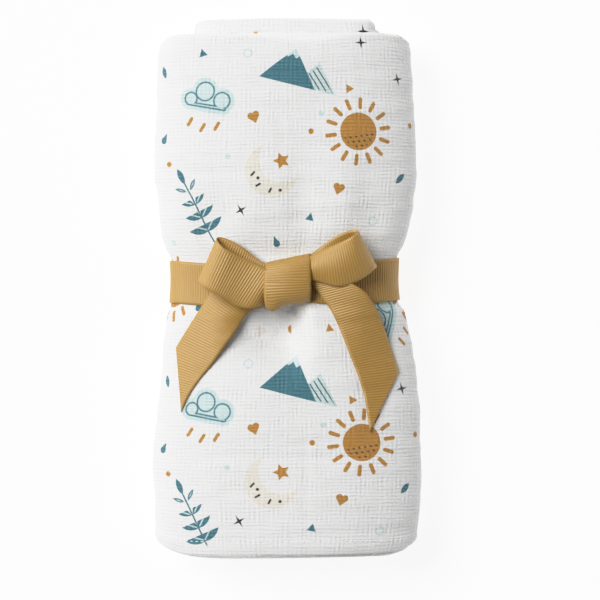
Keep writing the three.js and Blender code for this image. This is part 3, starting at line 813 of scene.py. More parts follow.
class Graph:
    """Adds nodes to a node tree and links them as they are made."""

    def __init__(self, tree):
        self.tree = tree

    def node(self, kind, inputs=(), **settings):
        """A new node with its inputs, which are values or other nodes' outputs."""
        made = self.tree.nodes.new(kind)
        for name, value in settings.items():
            setattr(made, name, value)
        for socket, value in dict(inputs).items():
            self.set(made.inputs[socket], value)
        return made

    def set(self, socket, value):
        if isinstance(value, bpy.types.NodeSocket):
            self.tree.links.new(value, socket)
        else:
            socket.default_value = value

    def math(self, operation, *values):
        made = self.node("ShaderNodeMath", operation=operation)
        for socket, value in zip(made.inputs, values):
            self.set(socket, value)
        return made.outputs[0]

    def add(self, a, b):
        return self.math("ADD", a, b)

    def sub(self, a, b):
        return self.math("SUBTRACT", a, b)

    def mul(self, a, b):
        return self.math("MULTIPLY", a, b)

    def least(self, *values):
        result = values[0]
        for value in values[1:]:
            result = self.math("MINIMUM", result, value)
        return result

    def most(self, *values):
        result = values[0]
        for value in values[1:]:
            result = self.math("MAXIMUM", result, value)
        return result

    def size(self, x, y):
        """Length of a flat vector."""
        return self.math("SQRT", self.add(self.mul(x, x), self.mul(y, y)))

    def disc(self, x, y, centre_x, centre_y, radius):
        """Distance outside a disc."""
        return self.sub(self.size(self.sub(x, centre_x), self.sub(y, centre_y)), radius)

    def rod(self, x, y, x0, y0, x1, y1, radius):
        """Distance outside a rod with round ends."""
        run_x, run_y = x1 - x0, y1 - y0
        square = run_x**2 + run_y**2
        from_x, from_y = self.sub(x, x0), self.sub(y, y0)
        share = self.add(self.mul(from_x, run_x / square), self.mul(from_y, run_y / square))
        share = self.node("ShaderNodeClamp", {"Value": share}).outputs[0]
        away_x = self.sub(from_x, self.mul(share, run_x))
        away_y = self.sub(from_y, self.mul(share, run_y))
        return self.sub(self.size(away_x, away_y), radius)

    def ink(self, distance, soft=0.3):
        """1 inside a shape, 0 outside, over a soft edge in millimetres."""
        return self.ramp(distance, soft, -soft)

    def ramp(self, value, start, stop, low=0.0, high=1.0):
        """A value brought from one range into another, and held at its ends."""
        return self.node("ShaderNodeMapRange", {"Value": value, "From Min": start, "From Max": stop,
                                                "To Min": low, "To Max": high}).outputs[0]

    def noise(self, x, y, detail):
        """Noise over a flat place, from 0 to 1."""
        vector = self.node("ShaderNodeCombineXYZ", {"X": x, "Y": y}).outputs[0]
        return self.node("ShaderNodeTexNoise", {"Vector": vector, "Scale": 1.0,
                                                "Detail": detail}).outputs[0]

    def mix(self, share, first, second, blend="MIX"):
        """Two colours mixed or multiplied."""
        made = self.node("ShaderNodeMix", data_type="RGBA", blend_type=blend)
        self.set(made.inputs["Factor"], share)
        self.set(made.inputs[6], first)
        self.set(made.inputs[7], second)
        return made.outputs[2]


def shader_group(name, inputs, outputs):
    """A new shader node group with named sockets. Returns its graph and both ends."""
    clear_old(bpy.data.node_groups, name)
    tree = bpy.data.node_groups.new(name, "ShaderNodeTree")
    for label, kind, default in inputs:
        socket = tree.interface.new_socket(label, in_out="INPUT", socket_type=kind)
        if default is not None:
            socket.default_value = default
    for label, kind in outputs:
        tree.interface.new_socket(label, in_out="OUTPUT", socket_type=kind)
    graph = Graph(tree)
    return graph, graph.node("NodeGroupInput").outputs, graph.node("NodeGroupOutput").inputs


FLOAT, COLOUR = "NodeSocketFloat", "NodeSocketColor"
PLACE = (("X", FLOAT, 0.0), ("Y", FLOAT, 0.0))
SHAPE = (("Ink", FLOAT), ("Colour", COLOUR))


def rgba(colour):
    """A colour with full cover."""
    return (*colour, 1.0)


def finish_motif(graph, out, ink, colour):
    """Links a motif's cover and colour, and returns its node tree."""
    graph.set(out["Ink"], ink)
    graph.set(out["Colour"], colour)
    return graph.tree


def sun_group(colours):
    """A sun with round rays and a sprinkle of seeds."""
    rays_round, ray_from, ray_to, ray_half, body_radius = 14, 13.6, 18.0, 1.25, 10.6
    graph, place, out = shader_group("print_sun", PLACE, SHAPE)
    x, y = place["X"], place["Y"]
    radius = graph.size(x, y)
    angle = graph.math("ARCTAN2", y, x)
    wedge = FULL_TURN / rays_round
    turned = graph.math("WRAP", angle, wedge / 2, -wedge / 2)
    ray_x = graph.mul(radius, graph.math("COSINE", turned))
    ray_y = graph.mul(radius, graph.math("SINE", turned))
    rays = graph.rod(ray_x, ray_y, ray_from, 0, ray_to, 0, ray_half)
    body = graph.sub(radius, body_radius)
    seed_x = graph.math("WRAP", graph.add(x, graph.mul(y, 0.5)), 1.6, -1.6)
    seed_y = graph.math("WRAP", y, 1.35, -1.35)
    seeds = graph.most(graph.disc(seed_x, seed_y, 0, 0, 0.55), graph.add(radius, -8.8),
                       graph.add(y, 1.0))
    ink = graph.ink(graph.least(rays, body))
    colour = graph.mix(graph.ink(seeds), rgba(colours.ochre), rgba(colours.black))
    return finish_motif(graph, out, ink, colour)


def sprig_group(colours):
    """A leafy sprig: pairs of leaves that grow smaller up a stem."""
    pair_pitch, leaf_out, leaf_lean, shrink, tip_at = 8.4, 6.4, math.radians(38), 0.13, 19.0
    leaf_offset, leaf_radius, tip_radius = 6.2, 8.6, 8.2
    graph, place, out = shader_group("print_sprig", PLACE, SHAPE)
    x, y = place["X"], place["Y"]
    pair = graph.math("ROUND", graph.mul(y, 1 / pair_pitch))
    pair = graph.node("ShaderNodeClamp", {"Value": pair, "Min": -2, "Max": 1}).outputs[0]
    local_y = graph.sub(y, graph.mul(pair, pair_pitch))
    grow = graph.sub(1.0, graph.mul(pair, shrink))
    side = graph.math("ABSOLUTE", x)
    cos, sin = math.cos(leaf_lean), math.sin(leaf_lean)
    lean_x = graph.add(graph.mul(side, cos), graph.mul(local_y, sin))
    lean_x = graph.sub(lean_x, graph.mul(grow, leaf_out))
    lean_y = graph.sub(graph.mul(local_y, cos), graph.mul(side, sin))
    wide = graph.math("ABSOLUTE", lean_y)
    leaf = graph.sub(graph.size(lean_x, graph.add(wide, leaf_offset)), graph.mul(grow, leaf_radius))
    tip_y = graph.math("ABSOLUTE", graph.sub(y, tip_at))
    tip = graph.sub(graph.size(tip_y, graph.add(side, leaf_offset)), tip_radius)
    stem = graph.rod(x, y, 0, -24, 0, 17, 0.65)
    vein = graph.most(graph.sub(wide, 0.35), graph.add(leaf, 1.0))
    ink = graph.ink(graph.least(leaf, tip, stem))
    colour = graph.mix(graph.ink(vein), rgba(colours.teal), rgba(colours.aqua))
    return finish_motif(graph, out, ink, colour)


def cloud_group(colours):
    """A cloud with three drops under it."""
    graph, place, out = shader_group("print_cloud", PLACE, SHAPE)
    x, y = place["X"], place["Y"]
    puffs = graph.least(
        graph.disc(x, y, -9.5, -1.0, 6.0),
        graph.disc(x, y, -2.5, 4.0, 7.6),
        graph.disc(x, y, 7.5, 0.5, 7.0),
        graph.rod(x, y, -9.5, -3.6, 9.5, -3.6, 3.4),
    )
    rim = graph.most(graph.add(puffs, 2.2), graph.sub(-3.1, puffs))
    drops = graph.least(*(graph.rod(x, y, drop_x, drop_y, drop_x - 1.2, drop_y - 3.4, 1.1)
                          for drop_x, drop_y in ((-7, -11.5), (0.5, -13.5), (8, -11.5))))
    ink = graph.ink(graph.least(puffs, drops))
    colour = graph.mix(graph.ink(rim), rgba(colours.aqua), rgba(colours.teal))
    colour = graph.mix(graph.ink(drops), colour, rgba(colours.ochre))
    return finish_motif(graph, out, ink, colour)


def star_distance(graph, x, y, points, outer, inner):
    """Distance outside a star, as the slanted side of one of its points."""
    wedge = FULL_TURN / points
    angle = graph.math("ARCTAN2", x, y)
    turned = graph.math("ABSOLUTE", graph.math("WRAP", angle, wedge / 2, -wedge / 2))
    radius = graph.size(x, y)
    point_x = graph.mul(radius, graph.math("COSINE", turned))
    point_y = graph.mul(radius, graph.math("SINE", turned))
    inner_x, inner_y = inner * math.cos(wedge / 2), inner * math.sin(wedge / 2)
    side = math.hypot(outer - inner_x, inner_y)
    normal_x, normal_y = inner_y / side, (outer - inner_x) / side
    return graph.sub(graph.add(graph.mul(point_x, normal_x), graph.mul(point_y, normal_y)),
                     outer * normal_x)


def moon_group(colours):
    """A crescent with small dashes, and a star in its arms."""
    graph, place, out = shader_group("print_moon", PLACE, SHAPE)
    x, y = place["X"], place["Y"]
    outer = graph.disc(x, y, 0, 0, 15.0)
    moon = graph.most(outer, graph.sub(0.0, graph.disc(x, y, 7.4, 3.6, 12.6)))
    dashes = graph.least(
        graph.rod(x, y, -11.4, 1.5, -9.4, 2.5, 0.6),
        graph.rod(x, y, -11.0, -5.0, -8.8, -4.6, 0.6),
        graph.rod(x, y, -5.6, -10.6, -4.0, -9.2, 0.6),
        graph.disc(x, y, -8.6, -1.2, 0.9),
        graph.disc(x, y, 0.6, -11.8, 0.9),
    )
    star = star_distance(graph, graph.sub(x, 7.0), graph.sub(y, 3.4), 5, 5.2, 2.6)
    ink = graph.ink(graph.least(moon, star))
    colour = graph.mix(graph.ink(dashes), rgba(colours.beige), rgba(colours.black))
    colour = graph.mix(graph.ink(star), colour, rgba(colours.ochre))
    return finish_motif(graph, out, ink, colour)


def hills_group(colours):
    """Two pointed hills, one before the other."""
    stroke_pitch, stroke_half, foot_y = 3.4, 0.4, -9.5
    graph, place, out = shader_group("print_hills", PLACE, SHAPE)
    x, y = place["X"], place["Y"]

    def hill(top_x, top_y, slope):
        """Distance outside a hill with straight sides."""
        away = graph.math("ABSOLUTE", graph.sub(x, top_x))
        down = graph.sub(top_y, y)
        scale = 1 / math.hypot(1, slope)
        side = graph.mul(graph.sub(away, graph.mul(down, slope)), scale)
        return graph.most(side, graph.sub(foot_y, y))

    front = hill(-4.5, 10.5, 0.72)
    behind = hill(9.0, 5.0, 0.8)
    snow_edge = graph.add(4.6, graph.mul(graph.math("PINGPONG", graph.add(x, 20.0), 2.1), 1.1))
    snow = graph.most(front, graph.sub(snow_edge, y))
    slanted = graph.math("WRAP", graph.add(y, x), stroke_pitch / 2, -stroke_pitch / 2)
    strokes = graph.sub(graph.math("ABSOLUTE", slanted), stroke_half)
    strokes = graph.most(strokes, graph.add(behind, 1.0), graph.sub(0.0, front))
    ink = graph.ink(graph.least(front, behind))
    colour = graph.mix(graph.ink(front), rgba(colours.aqua), rgba(colours.teal))
    colour = graph.mix(graph.ink(strokes), colour, rgba(colours.black))
    colour = graph.mix(graph.ink(snow), colour, rgba(colours.aqua))
    return finish_motif(graph, out, ink, colour)


def small_group(name, distance, colour):
    """A small motif of one colour."""
    graph, place, out = shader_group(name, PLACE, SHAPE)
    ink = graph.ink(distance(graph, place["X"], place["Y"]))
    return finish_motif(graph, out, ink, rgba(colour))


def heart_distance(graph, x, y):
    """Distance outside a heart: two lobes over a pointed foot."""
    side = graph.math("ABSOLUTE", x)
    lobe = graph.disc(side, y, 1.55, 1.1, 1.95)
    slant = graph.sub(graph.mul(side, 0.773), graph.mul(graph.add(y, 3.9), 0.634))
    foot = graph.most(slant, graph.sub(y, 0.6))
    return graph.least(lobe, foot)


def drop_distance(graph, x, y):
    """Distance outside a drop: a disc under a cone."""
    side = graph.math("ABSOLUTE", x)
    cone = graph.most(graph.mul(graph.sub(graph.add(side, graph.mul(y, 0.45)), 1.9), 0.9),
                      graph.sub(-0.4, y))
    return graph.least(graph.disc(x, y, 0, -0.6, 2.1), cone)


def ring_distance(graph, x, y):
    """Distance outside a thin ring."""
    return graph.sub(graph.math("ABSOLUTE", graph.disc(x, y, 0, 0, 2.3)), 0.55)


def spark_distance(graph, x, y):
    """Distance outside a spark with four points."""
    return star_distance(graph, x, y, 4, 4.2, 1.1)


def dot_distance(graph, x, y):
    """Distance outside a dot."""
    return graph.disc(x, y, 0, 0, 1.7)


def tent_distance(graph, x, y):
    """Distance outside a small triangle."""
    side = graph.math("ABSOLUTE", x)
    slant = graph.sub(graph.mul(graph.add(side, graph.mul(y, 0.58)), 0.865), 1.5)
    return graph.most(slant, graph.sub(-1.8, y))


def leaf_distance(graph, x, y):
    """Distance outside a leaf, where two arcs cross."""
    wide = graph.math("ABSOLUTE", x)
    return graph.sub(graph.size(y, graph.add(wide, 3.2)), 5.0)


# One repeat of the print, and its motifs: name, place of the middle, and turn in degrees.
REPEAT = (166.0, 174.0)
LARGE_MOTIFS = (
    ("print_sun", 41, 88, 8),
    ("print_sprig", -52, 47, 24),
    ("print_cloud", -44, 106, -10),
    ("print_moon", -8, 66, 20),
    ("print_hills", 8, 124, -14),
    ("print_cloud", 62, 158, 62),
    ("print_sprig", 20, 12, -70),
    ("print_sun", -76, 0, 0),
)
SMALL_MOTIFS = (
    ("print_heart", -18, 96, 20),
    ("print_spark", 66, 118, 10),
    ("print_drop", -70, 84, -25),
    ("print_ring", -22, 132, 0),
    ("print_tent_ochre", 36, 112, 30),
    ("print_dot", 14, 88, 0),
    ("print_dot_aqua", 20, 98, 0),
    ("print_leaf", 66, 62, -40),
    ("print_spark", -26, 44, 30),
    ("print_heart", 30, 56, -15),
    ("print_ring", 52, 38, 0),
    ("print_tent_teal", 14, 40, -12),
    ("print_drop", -6, 26, 20),
    ("print_leaf", -72, 122, 20),
    ("print_dot", -66, 70, 0),
    ("print_spark", 44, 138, 0),
    ("print_tent_teal", -48, 132, 15),
    ("print_heart", -16, 150, -30),
    ("print_dot_aqua", -70, 26, 0),
    ("print_ring", -40, 14, 0),
    ("print_drop", -56, 164, 10),
    ("print_tent_ochre", 26, 152, 8),
    ("print_leaf", 48, 4, 60),
    ("print_dot", 74, 92, 0),
    ("print_spark", -2, 2, 15),
    ("print_dot_aqua", -32, 74, 0),
)
MOTIF_SIZES = {"print_sun": 1.0, "print_sprig": 0.92, "print_cloud": 1.05, "print_moon": 1.0,
               "print_hills": 1.15}


def print_group(colours):
    """The whole print: every motif of the repeat, laid over one another."""
    trees = {
        "print_sun": sun_group(colours),
        "print_sprig": sprig_group(colours),
        "print_cloud": cloud_group(colours),
        "print_moon": moon_group(colours),
        "print_hills": hills_group(colours),
    }
    for name, distance, colour in (
        ("print_heart", heart_distance, colours.ochre),
        ("print_spark", spark_distance, colours.black),
        ("print_drop", drop_distance, colours.teal),
        ("print_ring", ring_distance, colours.aqua),
        ("print_dot", dot_distance, colours.ochre),
        ("print_dot_aqua", dot_distance, colours.aqua),
        ("print_tent_ochre", tent_distance, colours.ochre),
        ("print_tent_teal", tent_distance, colours.teal),
        ("print_leaf", leaf_distance, colours.teal),
    ):
        trees[name] = small_group(name, distance, colour)
    graph, place, out = shader_group("print_repeat", PLACE, SHAPE)
    ink, colour = 0.0, rgba(colours.cloth)
    for name, centre_x, centre_y, turn in LARGE_MOTIFS + SMALL_MOTIFS:
        x, y = (
            graph.math("WRAP", graph.sub(place[axis], centre), repeat / 2, -repeat / 2)
            for axis, centre, repeat in (("X", centre_x, REPEAT[0]), ("Y", centre_y, REPEAT[1]))
        )
        cos, sin = math.cos(math.radians(turn)), math.sin(math.radians(turn))
        scale = 1 / MOTIF_SIZES.get(name, 1.0)
        turned_x = graph.add(graph.mul(x, cos * scale), graph.mul(y, sin * scale))
        turned_y = graph.sub(graph.mul(y, cos * scale), graph.mul(x, sin * scale))
        motif = graph.node("ShaderNodeGroup", node_tree=trees[name])
        for axis, value in (("X", turned_x), ("Y", turned_y)):
            graph.set(motif.inputs[axis], value)
        colour = graph.mix(motif.outputs["Ink"], colour, motif.outputs["Colour"])
        ink = graph.math("MAXIMUM", ink, motif.outputs["Ink"])
    return finish_motif(graph, out, ink, colour)


def gauze_group():
    """The gauze: crinkled threads both ways, and a window-pane grid of heavier yarns. Its tone follows the
    relief: painted light where the threads stand high, painted shade in their troughs and in the holes
    beside the heavier yarns.
    """
    graph, place, out = shader_group(
        "gauze_weave",
        PLACE + (("Weft Pitch", FLOAT, 2.05), ("Warp Pitch", FLOAT, 2.6), ("Hole Pitch", FLOAT, 2.5),
                 ("Pane X", FLOAT, 37.5), ("Pane Y", FLOAT, 42.0)),
        (("Height", FLOAT), ("Tone", FLOAT)),
    )
    x, y = place["X"], place["Y"]

    def noise(scale_x, scale_y, detail=1.0):
        """Noise from -0.5 to 0.5 with its own scale each way."""
        return graph.sub(graph.noise(graph.mul(x, scale_x), graph.mul(y, scale_y), detail), 0.5)

    def threads(value, pitch, wander):
        """Ridges of one pitch whose lines wander."""
        phase = graph.add(graph.mul(graph.math("DIVIDE", value, pitch), FULL_TURN), wander)
        return graph.math("COSINE", phase)

    def strength(patch, low, high):
        """How strongly threads show in a patch of noise."""
        return graph.ramp(patch, -0.16, 0.2, low, high)

    weft = threads(y, place["Weft Pitch"], graph.mul(noise(0.045, 0.12, 2.0), 9.0))
    warp = threads(x, place["Warp Pitch"], graph.mul(noise(0.11, 0.04, 2.0), 8.0))
    weft = graph.mul(weft, strength(noise(0.13, 0.24, 2.0), 0.1, 1.35))
    warp = graph.mul(warp, strength(noise(0.16, 0.12, 1.0), -0.2, 1.05))
    grain = noise(1.2, 1.7, 1.0)
    relief = graph.add(graph.add(weft, warp), graph.mul(grain, 2.0))

    def pane(value, pitch):
        """Nearness to the heavier yarns of one direction."""
        away = graph.math("WRAP", value, graph.mul(pitch, 0.5), graph.mul(pitch, -0.5))
        bar = graph.ink(graph.sub(graph.math("ABSOLUTE", away), 0.5), 0.45)
        beside = graph.ink(graph.sub(graph.math("ABSOLUTE", graph.sub(away, 1.5)), 0.5), 0.4)
        return bar, beside

    bar_x, beside_x = pane(graph.add(x, graph.mul(noise(0.0, 0.06), 5.0)), place["Pane X"])
    bar_y, beside_y = pane(graph.add(y, graph.mul(noise(0.05, 0.0), 5.0)), place["Pane Y"])
    broken = strength(noise(0.22, 0.22), 0.15, 1.0)
    cells_x = graph.most(threads(y, place["Weft Pitch"], graph.mul(noise(0.0, 0.2), 10.0)), 0.0)
    cells_y = graph.most(threads(x, place["Hole Pitch"], graph.mul(noise(0.2, 0.0), 10.0)), 0.0)
    bars = graph.mul(graph.most(bar_x, bar_y), broken)
    hole_dip_and_shade = graph.most(graph.mul(beside_x, cells_x), graph.mul(beside_y, cells_y))
    hole_dip_and_shade = graph.mul(hole_dip_and_shade, broken)
    height = graph.sub(graph.mul(bars, 0.5), graph.mul(hole_dip_and_shade, 0.6))
    height = graph.add(graph.mul(relief, 0.5), height)
    # Painted light and shade: the tone rises with the threads' height and drops in the holes.
    tone = graph.add(0.5, graph.mul(relief, 0.19))
    tone = graph.add(tone, graph.sub(graph.mul(bars, 0.14), graph.mul(hole_dip_and_shade, 0.3)))
    graph.set(out["Height"], height)
    graph.set(out["Tone"], tone)
    return graph.tree


def grosgrain_group():
    """The ribbon's ribs and selvages, for its fine relief and its colour. The colour is darker in the
    hollows between the ribs and along the groove by each selvage: painted shade.
    """
    graph, place, out = shader_group(
        "grosgrain_ribs",
        PLACE + (("Pitch", FLOAT, 1.5), ("Width", FLOAT, 25.0), ("Selvage", FLOAT, 1.8)),
        (("Height", FLOAT), ("Tone", FLOAT)),
    )
    x, y = place["X"], place["Y"]
    wave = graph.math("COSINE", graph.mul(graph.math("DIVIDE", y, place["Pitch"]), FULL_TURN))
    inside = graph.math("MINIMUM", x, graph.sub(place["Width"], x))
    ribbed = graph.ramp(inside, graph.mul(place["Selvage"], 0.5), place["Selvage"])
    grain = graph.noise(graph.mul(x, 2.2), graph.mul(y, 2.2), 2.0)
    drift = graph.noise(graph.mul(x, 0.02), graph.mul(y, 0.35), 1.0)
    ribs = graph.mul(wave, ribbed)
    groove = graph.math("ABSOLUTE", graph.sub(inside, place["Selvage"]))
    groove = graph.ink(graph.sub(groove, 0.18), 0.25)
    height = graph.add(graph.mul(ribs, 0.5), graph.mul(graph.sub(grain, 0.5), 0.5))
    height = graph.sub(height, graph.mul(groove, 0.6))
    # Painted shade: the tone drops in the hollows between the ribs and rises on their crests.
    tone = graph.add(0.5, graph.mul(ribs, 0.36))
    tone = graph.add(tone, graph.mul(graph.sub(grain, 0.5), 0.3))
    tone = graph.add(tone, graph.mul(graph.sub(drift, 0.5), 0.25))
    # Painted shade: the sunk groove along each selvage is painted darker.
    tone = graph.sub(tone, graph.mul(groove, 0.35))
    tone = graph.add(tone, graph.mul(graph.sub(1.0, ribbed), 0.22))
    graph.set(out["Height"], height)
    graph.set(out["Tone"], tone)
    return graph.tree


def set_shader(shader, **values):
    """Sets sockets of the main shader. A socket's name has its spaces as underscores."""
    for name, value in values.items():
        shader.inputs[name.replace("_", " ")].default_value = value


def new_material(name):
    """An empty material, its graph and its main shader."""
    clear_old(bpy.data.materials, name)
    material = bpy.data.materials.new(name)
    material.use_nodes = True
    material.node_tree.nodes.clear()
    graph = Graph(material.node_tree)
    shader = graph.node("ShaderNodeBsdfPrincipled")
    output = graph.node("ShaderNodeOutputMaterial")
    graph.set(output.inputs["Surface"], shader.outputs[0])
    return material, graph, shader


def flat_place(graph):
    """The place on the flat cloth in millimetres, from the piece's own map."""
    uv = graph.node("ShaderNodeUVMap", uv_map="flat_cloth").outputs[0]
    parts = graph.node("ShaderNodeSeparateXYZ", {"Vector": uv}).outputs
    return graph.mul(parts[0], 1 / MM), graph.mul(parts[1], 1 / MM)


def muslin_material(settings, colours):
    """White double gauze with the print on one side, faint on the other."""
    material, graph, shader = new_material("printed_muslin")
    x, y = flat_place(graph)
    weave = graph.node("ShaderNodeGroup", {"X": x, "Y": graph.add(y, 5.0)}, node_tree=gauze_group())
    motif = graph.node("ShaderNodeGroup", {"X": x, "Y": y}, node_tree=print_group(colours))
    plain = graph.node("ShaderNodeAttribute", attribute_name="reverse").outputs["Fac"]
    strength = graph.sub(1.0, graph.mul(plain, 0.82))
    # The weave's tone holds painted light on the raised threads and painted shade in their troughs and
    # holes, on the cloth and on the print.
    tone = weave.outputs["Tone"]
    thin = graph.ramp(tone, 0.4, 0.9, 1.0, 0.92)
    margin = graph.ramp(y, *(float(SECTIONS[0, 0]) + inset for inset in HEM_MARGIN))
    ink = graph.mul(graph.mul(motif.outputs["Ink"], margin), graph.mul(strength, thin))
    cloth = graph.mix(1.0, rgba(colours.cloth), graph.ramp(tone, 0.1, 0.8, 0.8, 1.0), "MULTIPLY")
    printed = graph.mix(1.0, motif.outputs["Colour"],
                        graph.add(0.8, graph.mul(tone, 0.4)), "MULTIPLY")
    graph.set(shader.inputs["Base Color"], graph.mix(ink, cloth, printed))
    bump = graph.node("ShaderNodeBump", {"Height": weave.outputs["Height"], "Strength": settings.bump,
                                         "Distance": 0.0002})
    graph.set(shader.inputs["Normal"], bump.outputs[0])
    set_shader(shader, Roughness=0.9, Sheen_Weight=0.25, Sheen_Roughness=0.6, Specular_IOR_Level=0.2)
    return material


def ribbon_material(settings):
    """Mustard grosgrain with a soft lustre."""
    material, graph, shader = new_material("mustard_grosgrain")
    x, y = flat_place(graph)
    ribs = graph.node("ShaderNodeGroup", {"X": x, "Y": y, "Pitch": settings.rib_pitch / MM,
                                          "Width": settings.width / MM,
                                          "Selvage": settings.selvage / MM},
                      node_tree=grosgrain_group())
    # The hollows between the ribs take the darker groove colour as painted shade; the crests take the
    # ribbon's own colour.
    colour = graph.mix(ribs.outputs["Tone"], rgba(settings.groove_shade_colour), rgba(settings.rib_colour))
    graph.set(shader.inputs["Base Color"], colour)
    bump = graph.node("ShaderNodeBump", {"Height": ribs.outputs["Height"], "Strength": 0.8,
                                         "Distance": 0.00012})
    graph.set(shader.inputs["Normal"], bump.outputs[0])
    set_shader(shader, Roughness=0.56, IOR=1.6, Specular_IOR_Level=1.0,
               Specular_Tint=(1.0, 0.93, 0.76, 1))
    return material


def thread_material(colours):
    """White sewing thread with a fine twist."""
    material, graph, shader = new_material("white_thread")
    coordinate = graph.node("ShaderNodeTexCoord").outputs["Object"]
    noise = graph.node("ShaderNodeTexNoise", {"Vector": coordinate, "Scale": 2500.0}).outputs[0]
    shade = graph.ramp(noise, 0.0, 1.0, 0.8, 1.0)
    graph.set(shader.inputs["Base Color"], graph.mix(1.0, rgba(colours.cloth), shade, "MULTIPLY"))
    set_shader(shader, Roughness=0.7)
    return material


# Hem stitches


def stitch_tree(material):
    """Short stitches along a line: inputs are their pitch, length and thickness."""
    name = "hem_stitches"
    clear_old(bpy.data.node_groups, name)
    tree = bpy.data.node_groups.new(name, "GeometryNodeTree")
    tree.interface.new_socket("Geometry", in_out="INPUT", socket_type="NodeSocketGeometry")
    for label in ("Pitch", "Length", "Thickness"):
        tree.interface.new_socket(label, in_out="INPUT", socket_type="NodeSocketFloat")
    tree.interface.new_socket("Geometry", in_out="OUTPUT", socket_type="NodeSocketGeometry")
    graph = Graph(tree)
    given = graph.node("NodeGroupInput").outputs
    line = graph.node("GeometryNodeMeshToCurve", {"Mesh": given["Geometry"]}).outputs[0]
    points = graph.node("GeometryNodeResampleCurve", {"Curve": line, "Length": given["Pitch"]},
                        mode="LENGTH").outputs[0]
    tangent = graph.node("GeometryNodeInputTangent").outputs[0]
    facing = graph.node("FunctionNodeAlignRotationToVector", {"Vector": tangent}, axis="X").outputs[0]
    bead = graph.node("GeometryNodeMeshUVSphere", {"Segments": 8, "Rings": 6, "Radius": 0.5})
    size = graph.node("ShaderNodeCombineXYZ", {"X": given["Length"], "Y": given["Thickness"],
                                               "Z": given["Thickness"]}).outputs[0]
    placed = graph.node("GeometryNodeInstanceOnPoints", {
        "Points": points, "Instance": bead.outputs[0], "Rotation": facing, "Scale": size,
    }).outputs[0]
    real = graph.node("GeometryNodeRealizeInstances", {"Geometry": placed}).outputs[0]
    smooth = graph.node("GeometryNodeSetShadeSmooth", {"Geometry": real}).outputs[0]
    painted = graph.node("GeometryNodeSetMaterial", {"Geometry": smooth,
                                                     "Material": material}).outputs[0]
    graph.set(graph.node("NodeGroupOutput").inputs["Geometry"], painted)
    return tree


def set_input(modifier, label, value):
    """Sets an input of a Geometry Nodes modifier by its socket's identifier."""
    for item in modifier.node_group.interface.items_tree:
        if item.in_out == "INPUT" and item.name == label:
            modifier[item.identifier] = value
            return
    raise KeyError(label)


# Settings


class CribSheetCloth(bpy.types.PropertyGroup):
    """Sizes of the sheet and how crumpled it is."""

    fine_cell: FloatProperty(name="Fine cell", description="Spacing of the grid on the outer wrap",
                             default=0.00165, unit="LENGTH")
    inner_steps: IntProperty(name="Inner steps", description="Steps round the inner turns", default=104)
    wrap_steps: IntProperty(name="Wrap steps", description="Steps round the outer wrap", default=236)
    crinkle: FloatProperty(name="Crinkle", description="Strength of the creases", default=1.0)
    hem_relief: FloatProperty(name="Hem", description="Strength of the hem's ridge", default=1.0)
    bump: FloatProperty(name="Weave", description="Strength of the weave's relief", default=0.9,
                        subtype="FACTOR")


class CribSheetColours(bpy.types.PropertyGroup):
    """Colours of the cloth and of its print."""

    cloth: FloatVectorProperty(name="Cloth", description="White of the cloth", subtype="COLOR",
                               default=(0.87, 0.87, 0.865))
    teal: FloatVectorProperty(name="Teal", description="Dark blue-green ink", subtype="COLOR",
                              default=(0.045, 0.155, 0.195))
    aqua: FloatVectorProperty(name="Aqua", description="Pale blue-green ink", subtype="COLOR",
                              default=(0.53, 0.67, 0.67))
    ochre: FloatVectorProperty(name="Ochre", description="Warm brown-yellow ink", subtype="COLOR",
                               default=(0.43, 0.205, 0.034))
    beige: FloatVectorProperty(name="Beige", description="Pale warm ink", subtype="COLOR",
                               default=(0.77, 0.72, 0.63))
    black: FloatVectorProperty(name="Black", description="Darkest ink", subtype="COLOR",
                               default=(0.012, 0.013, 0.016))


class CribSheetRibbon(bpy.types.PropertyGroup):
    """Sizes and colours of the ribbon."""

    width: FloatProperty(name="Width", description="Width of the ribbon", default=0.025, unit="LENGTH")
    thickness: FloatProperty(name="Thickness", description="Thickness of the ribbon", default=0.0006,
                             unit="LENGTH")
    rib_pitch: FloatProperty(name="Rib pitch", description="Spacing of the ribs", default=0.0015,
                             unit="LENGTH")
    rib_depth: FloatProperty(name="Rib depth", description="Height of the ribs", default=0.00009,
                             unit="LENGTH")
    selvage: FloatProperty(name="Selvage", description="Width of the woven edge", default=0.0018,
                           unit="LENGTH")
    cuts_per_rib: IntProperty(name="Cuts per rib", description="Rows of faces in one rib", default=4)
    across: IntProperty(name="Across", description="Faces across the ribbon", default=14)
    rib_colour: FloatVectorProperty(name="Rib", description="Colour of the ribs", subtype="COLOR",
                                    default=(0.43, 0.235, 0.039))
    # The groove colour is the ribbon's colour darkened as painted shade for the hollows between the ribs.
    groove_shade_colour: FloatVectorProperty(name="Groove", description="Colour between the ribs",
                                       subtype="COLOR", default=(0.355, 0.19, 0.029))


class CribSheetStitches(bpy.types.PropertyGroup):
    """Sizes of the hem stitches."""

    pitch: FloatProperty(name="Pitch", description="Spacing of the stitches", default=0.0030, unit="LENGTH")
    length: FloatProperty(name="Length", description="Length of a stitch", default=0.0021, unit="LENGTH")
    thread: FloatProperty(name="Thread", description="Thickness of the thread", default=0.00055,
                          unit="LENGTH")
    inset: FloatProperty(name="Inset", description="Distance from the hem's edge", default=0.0078,
                         unit="LENGTH")


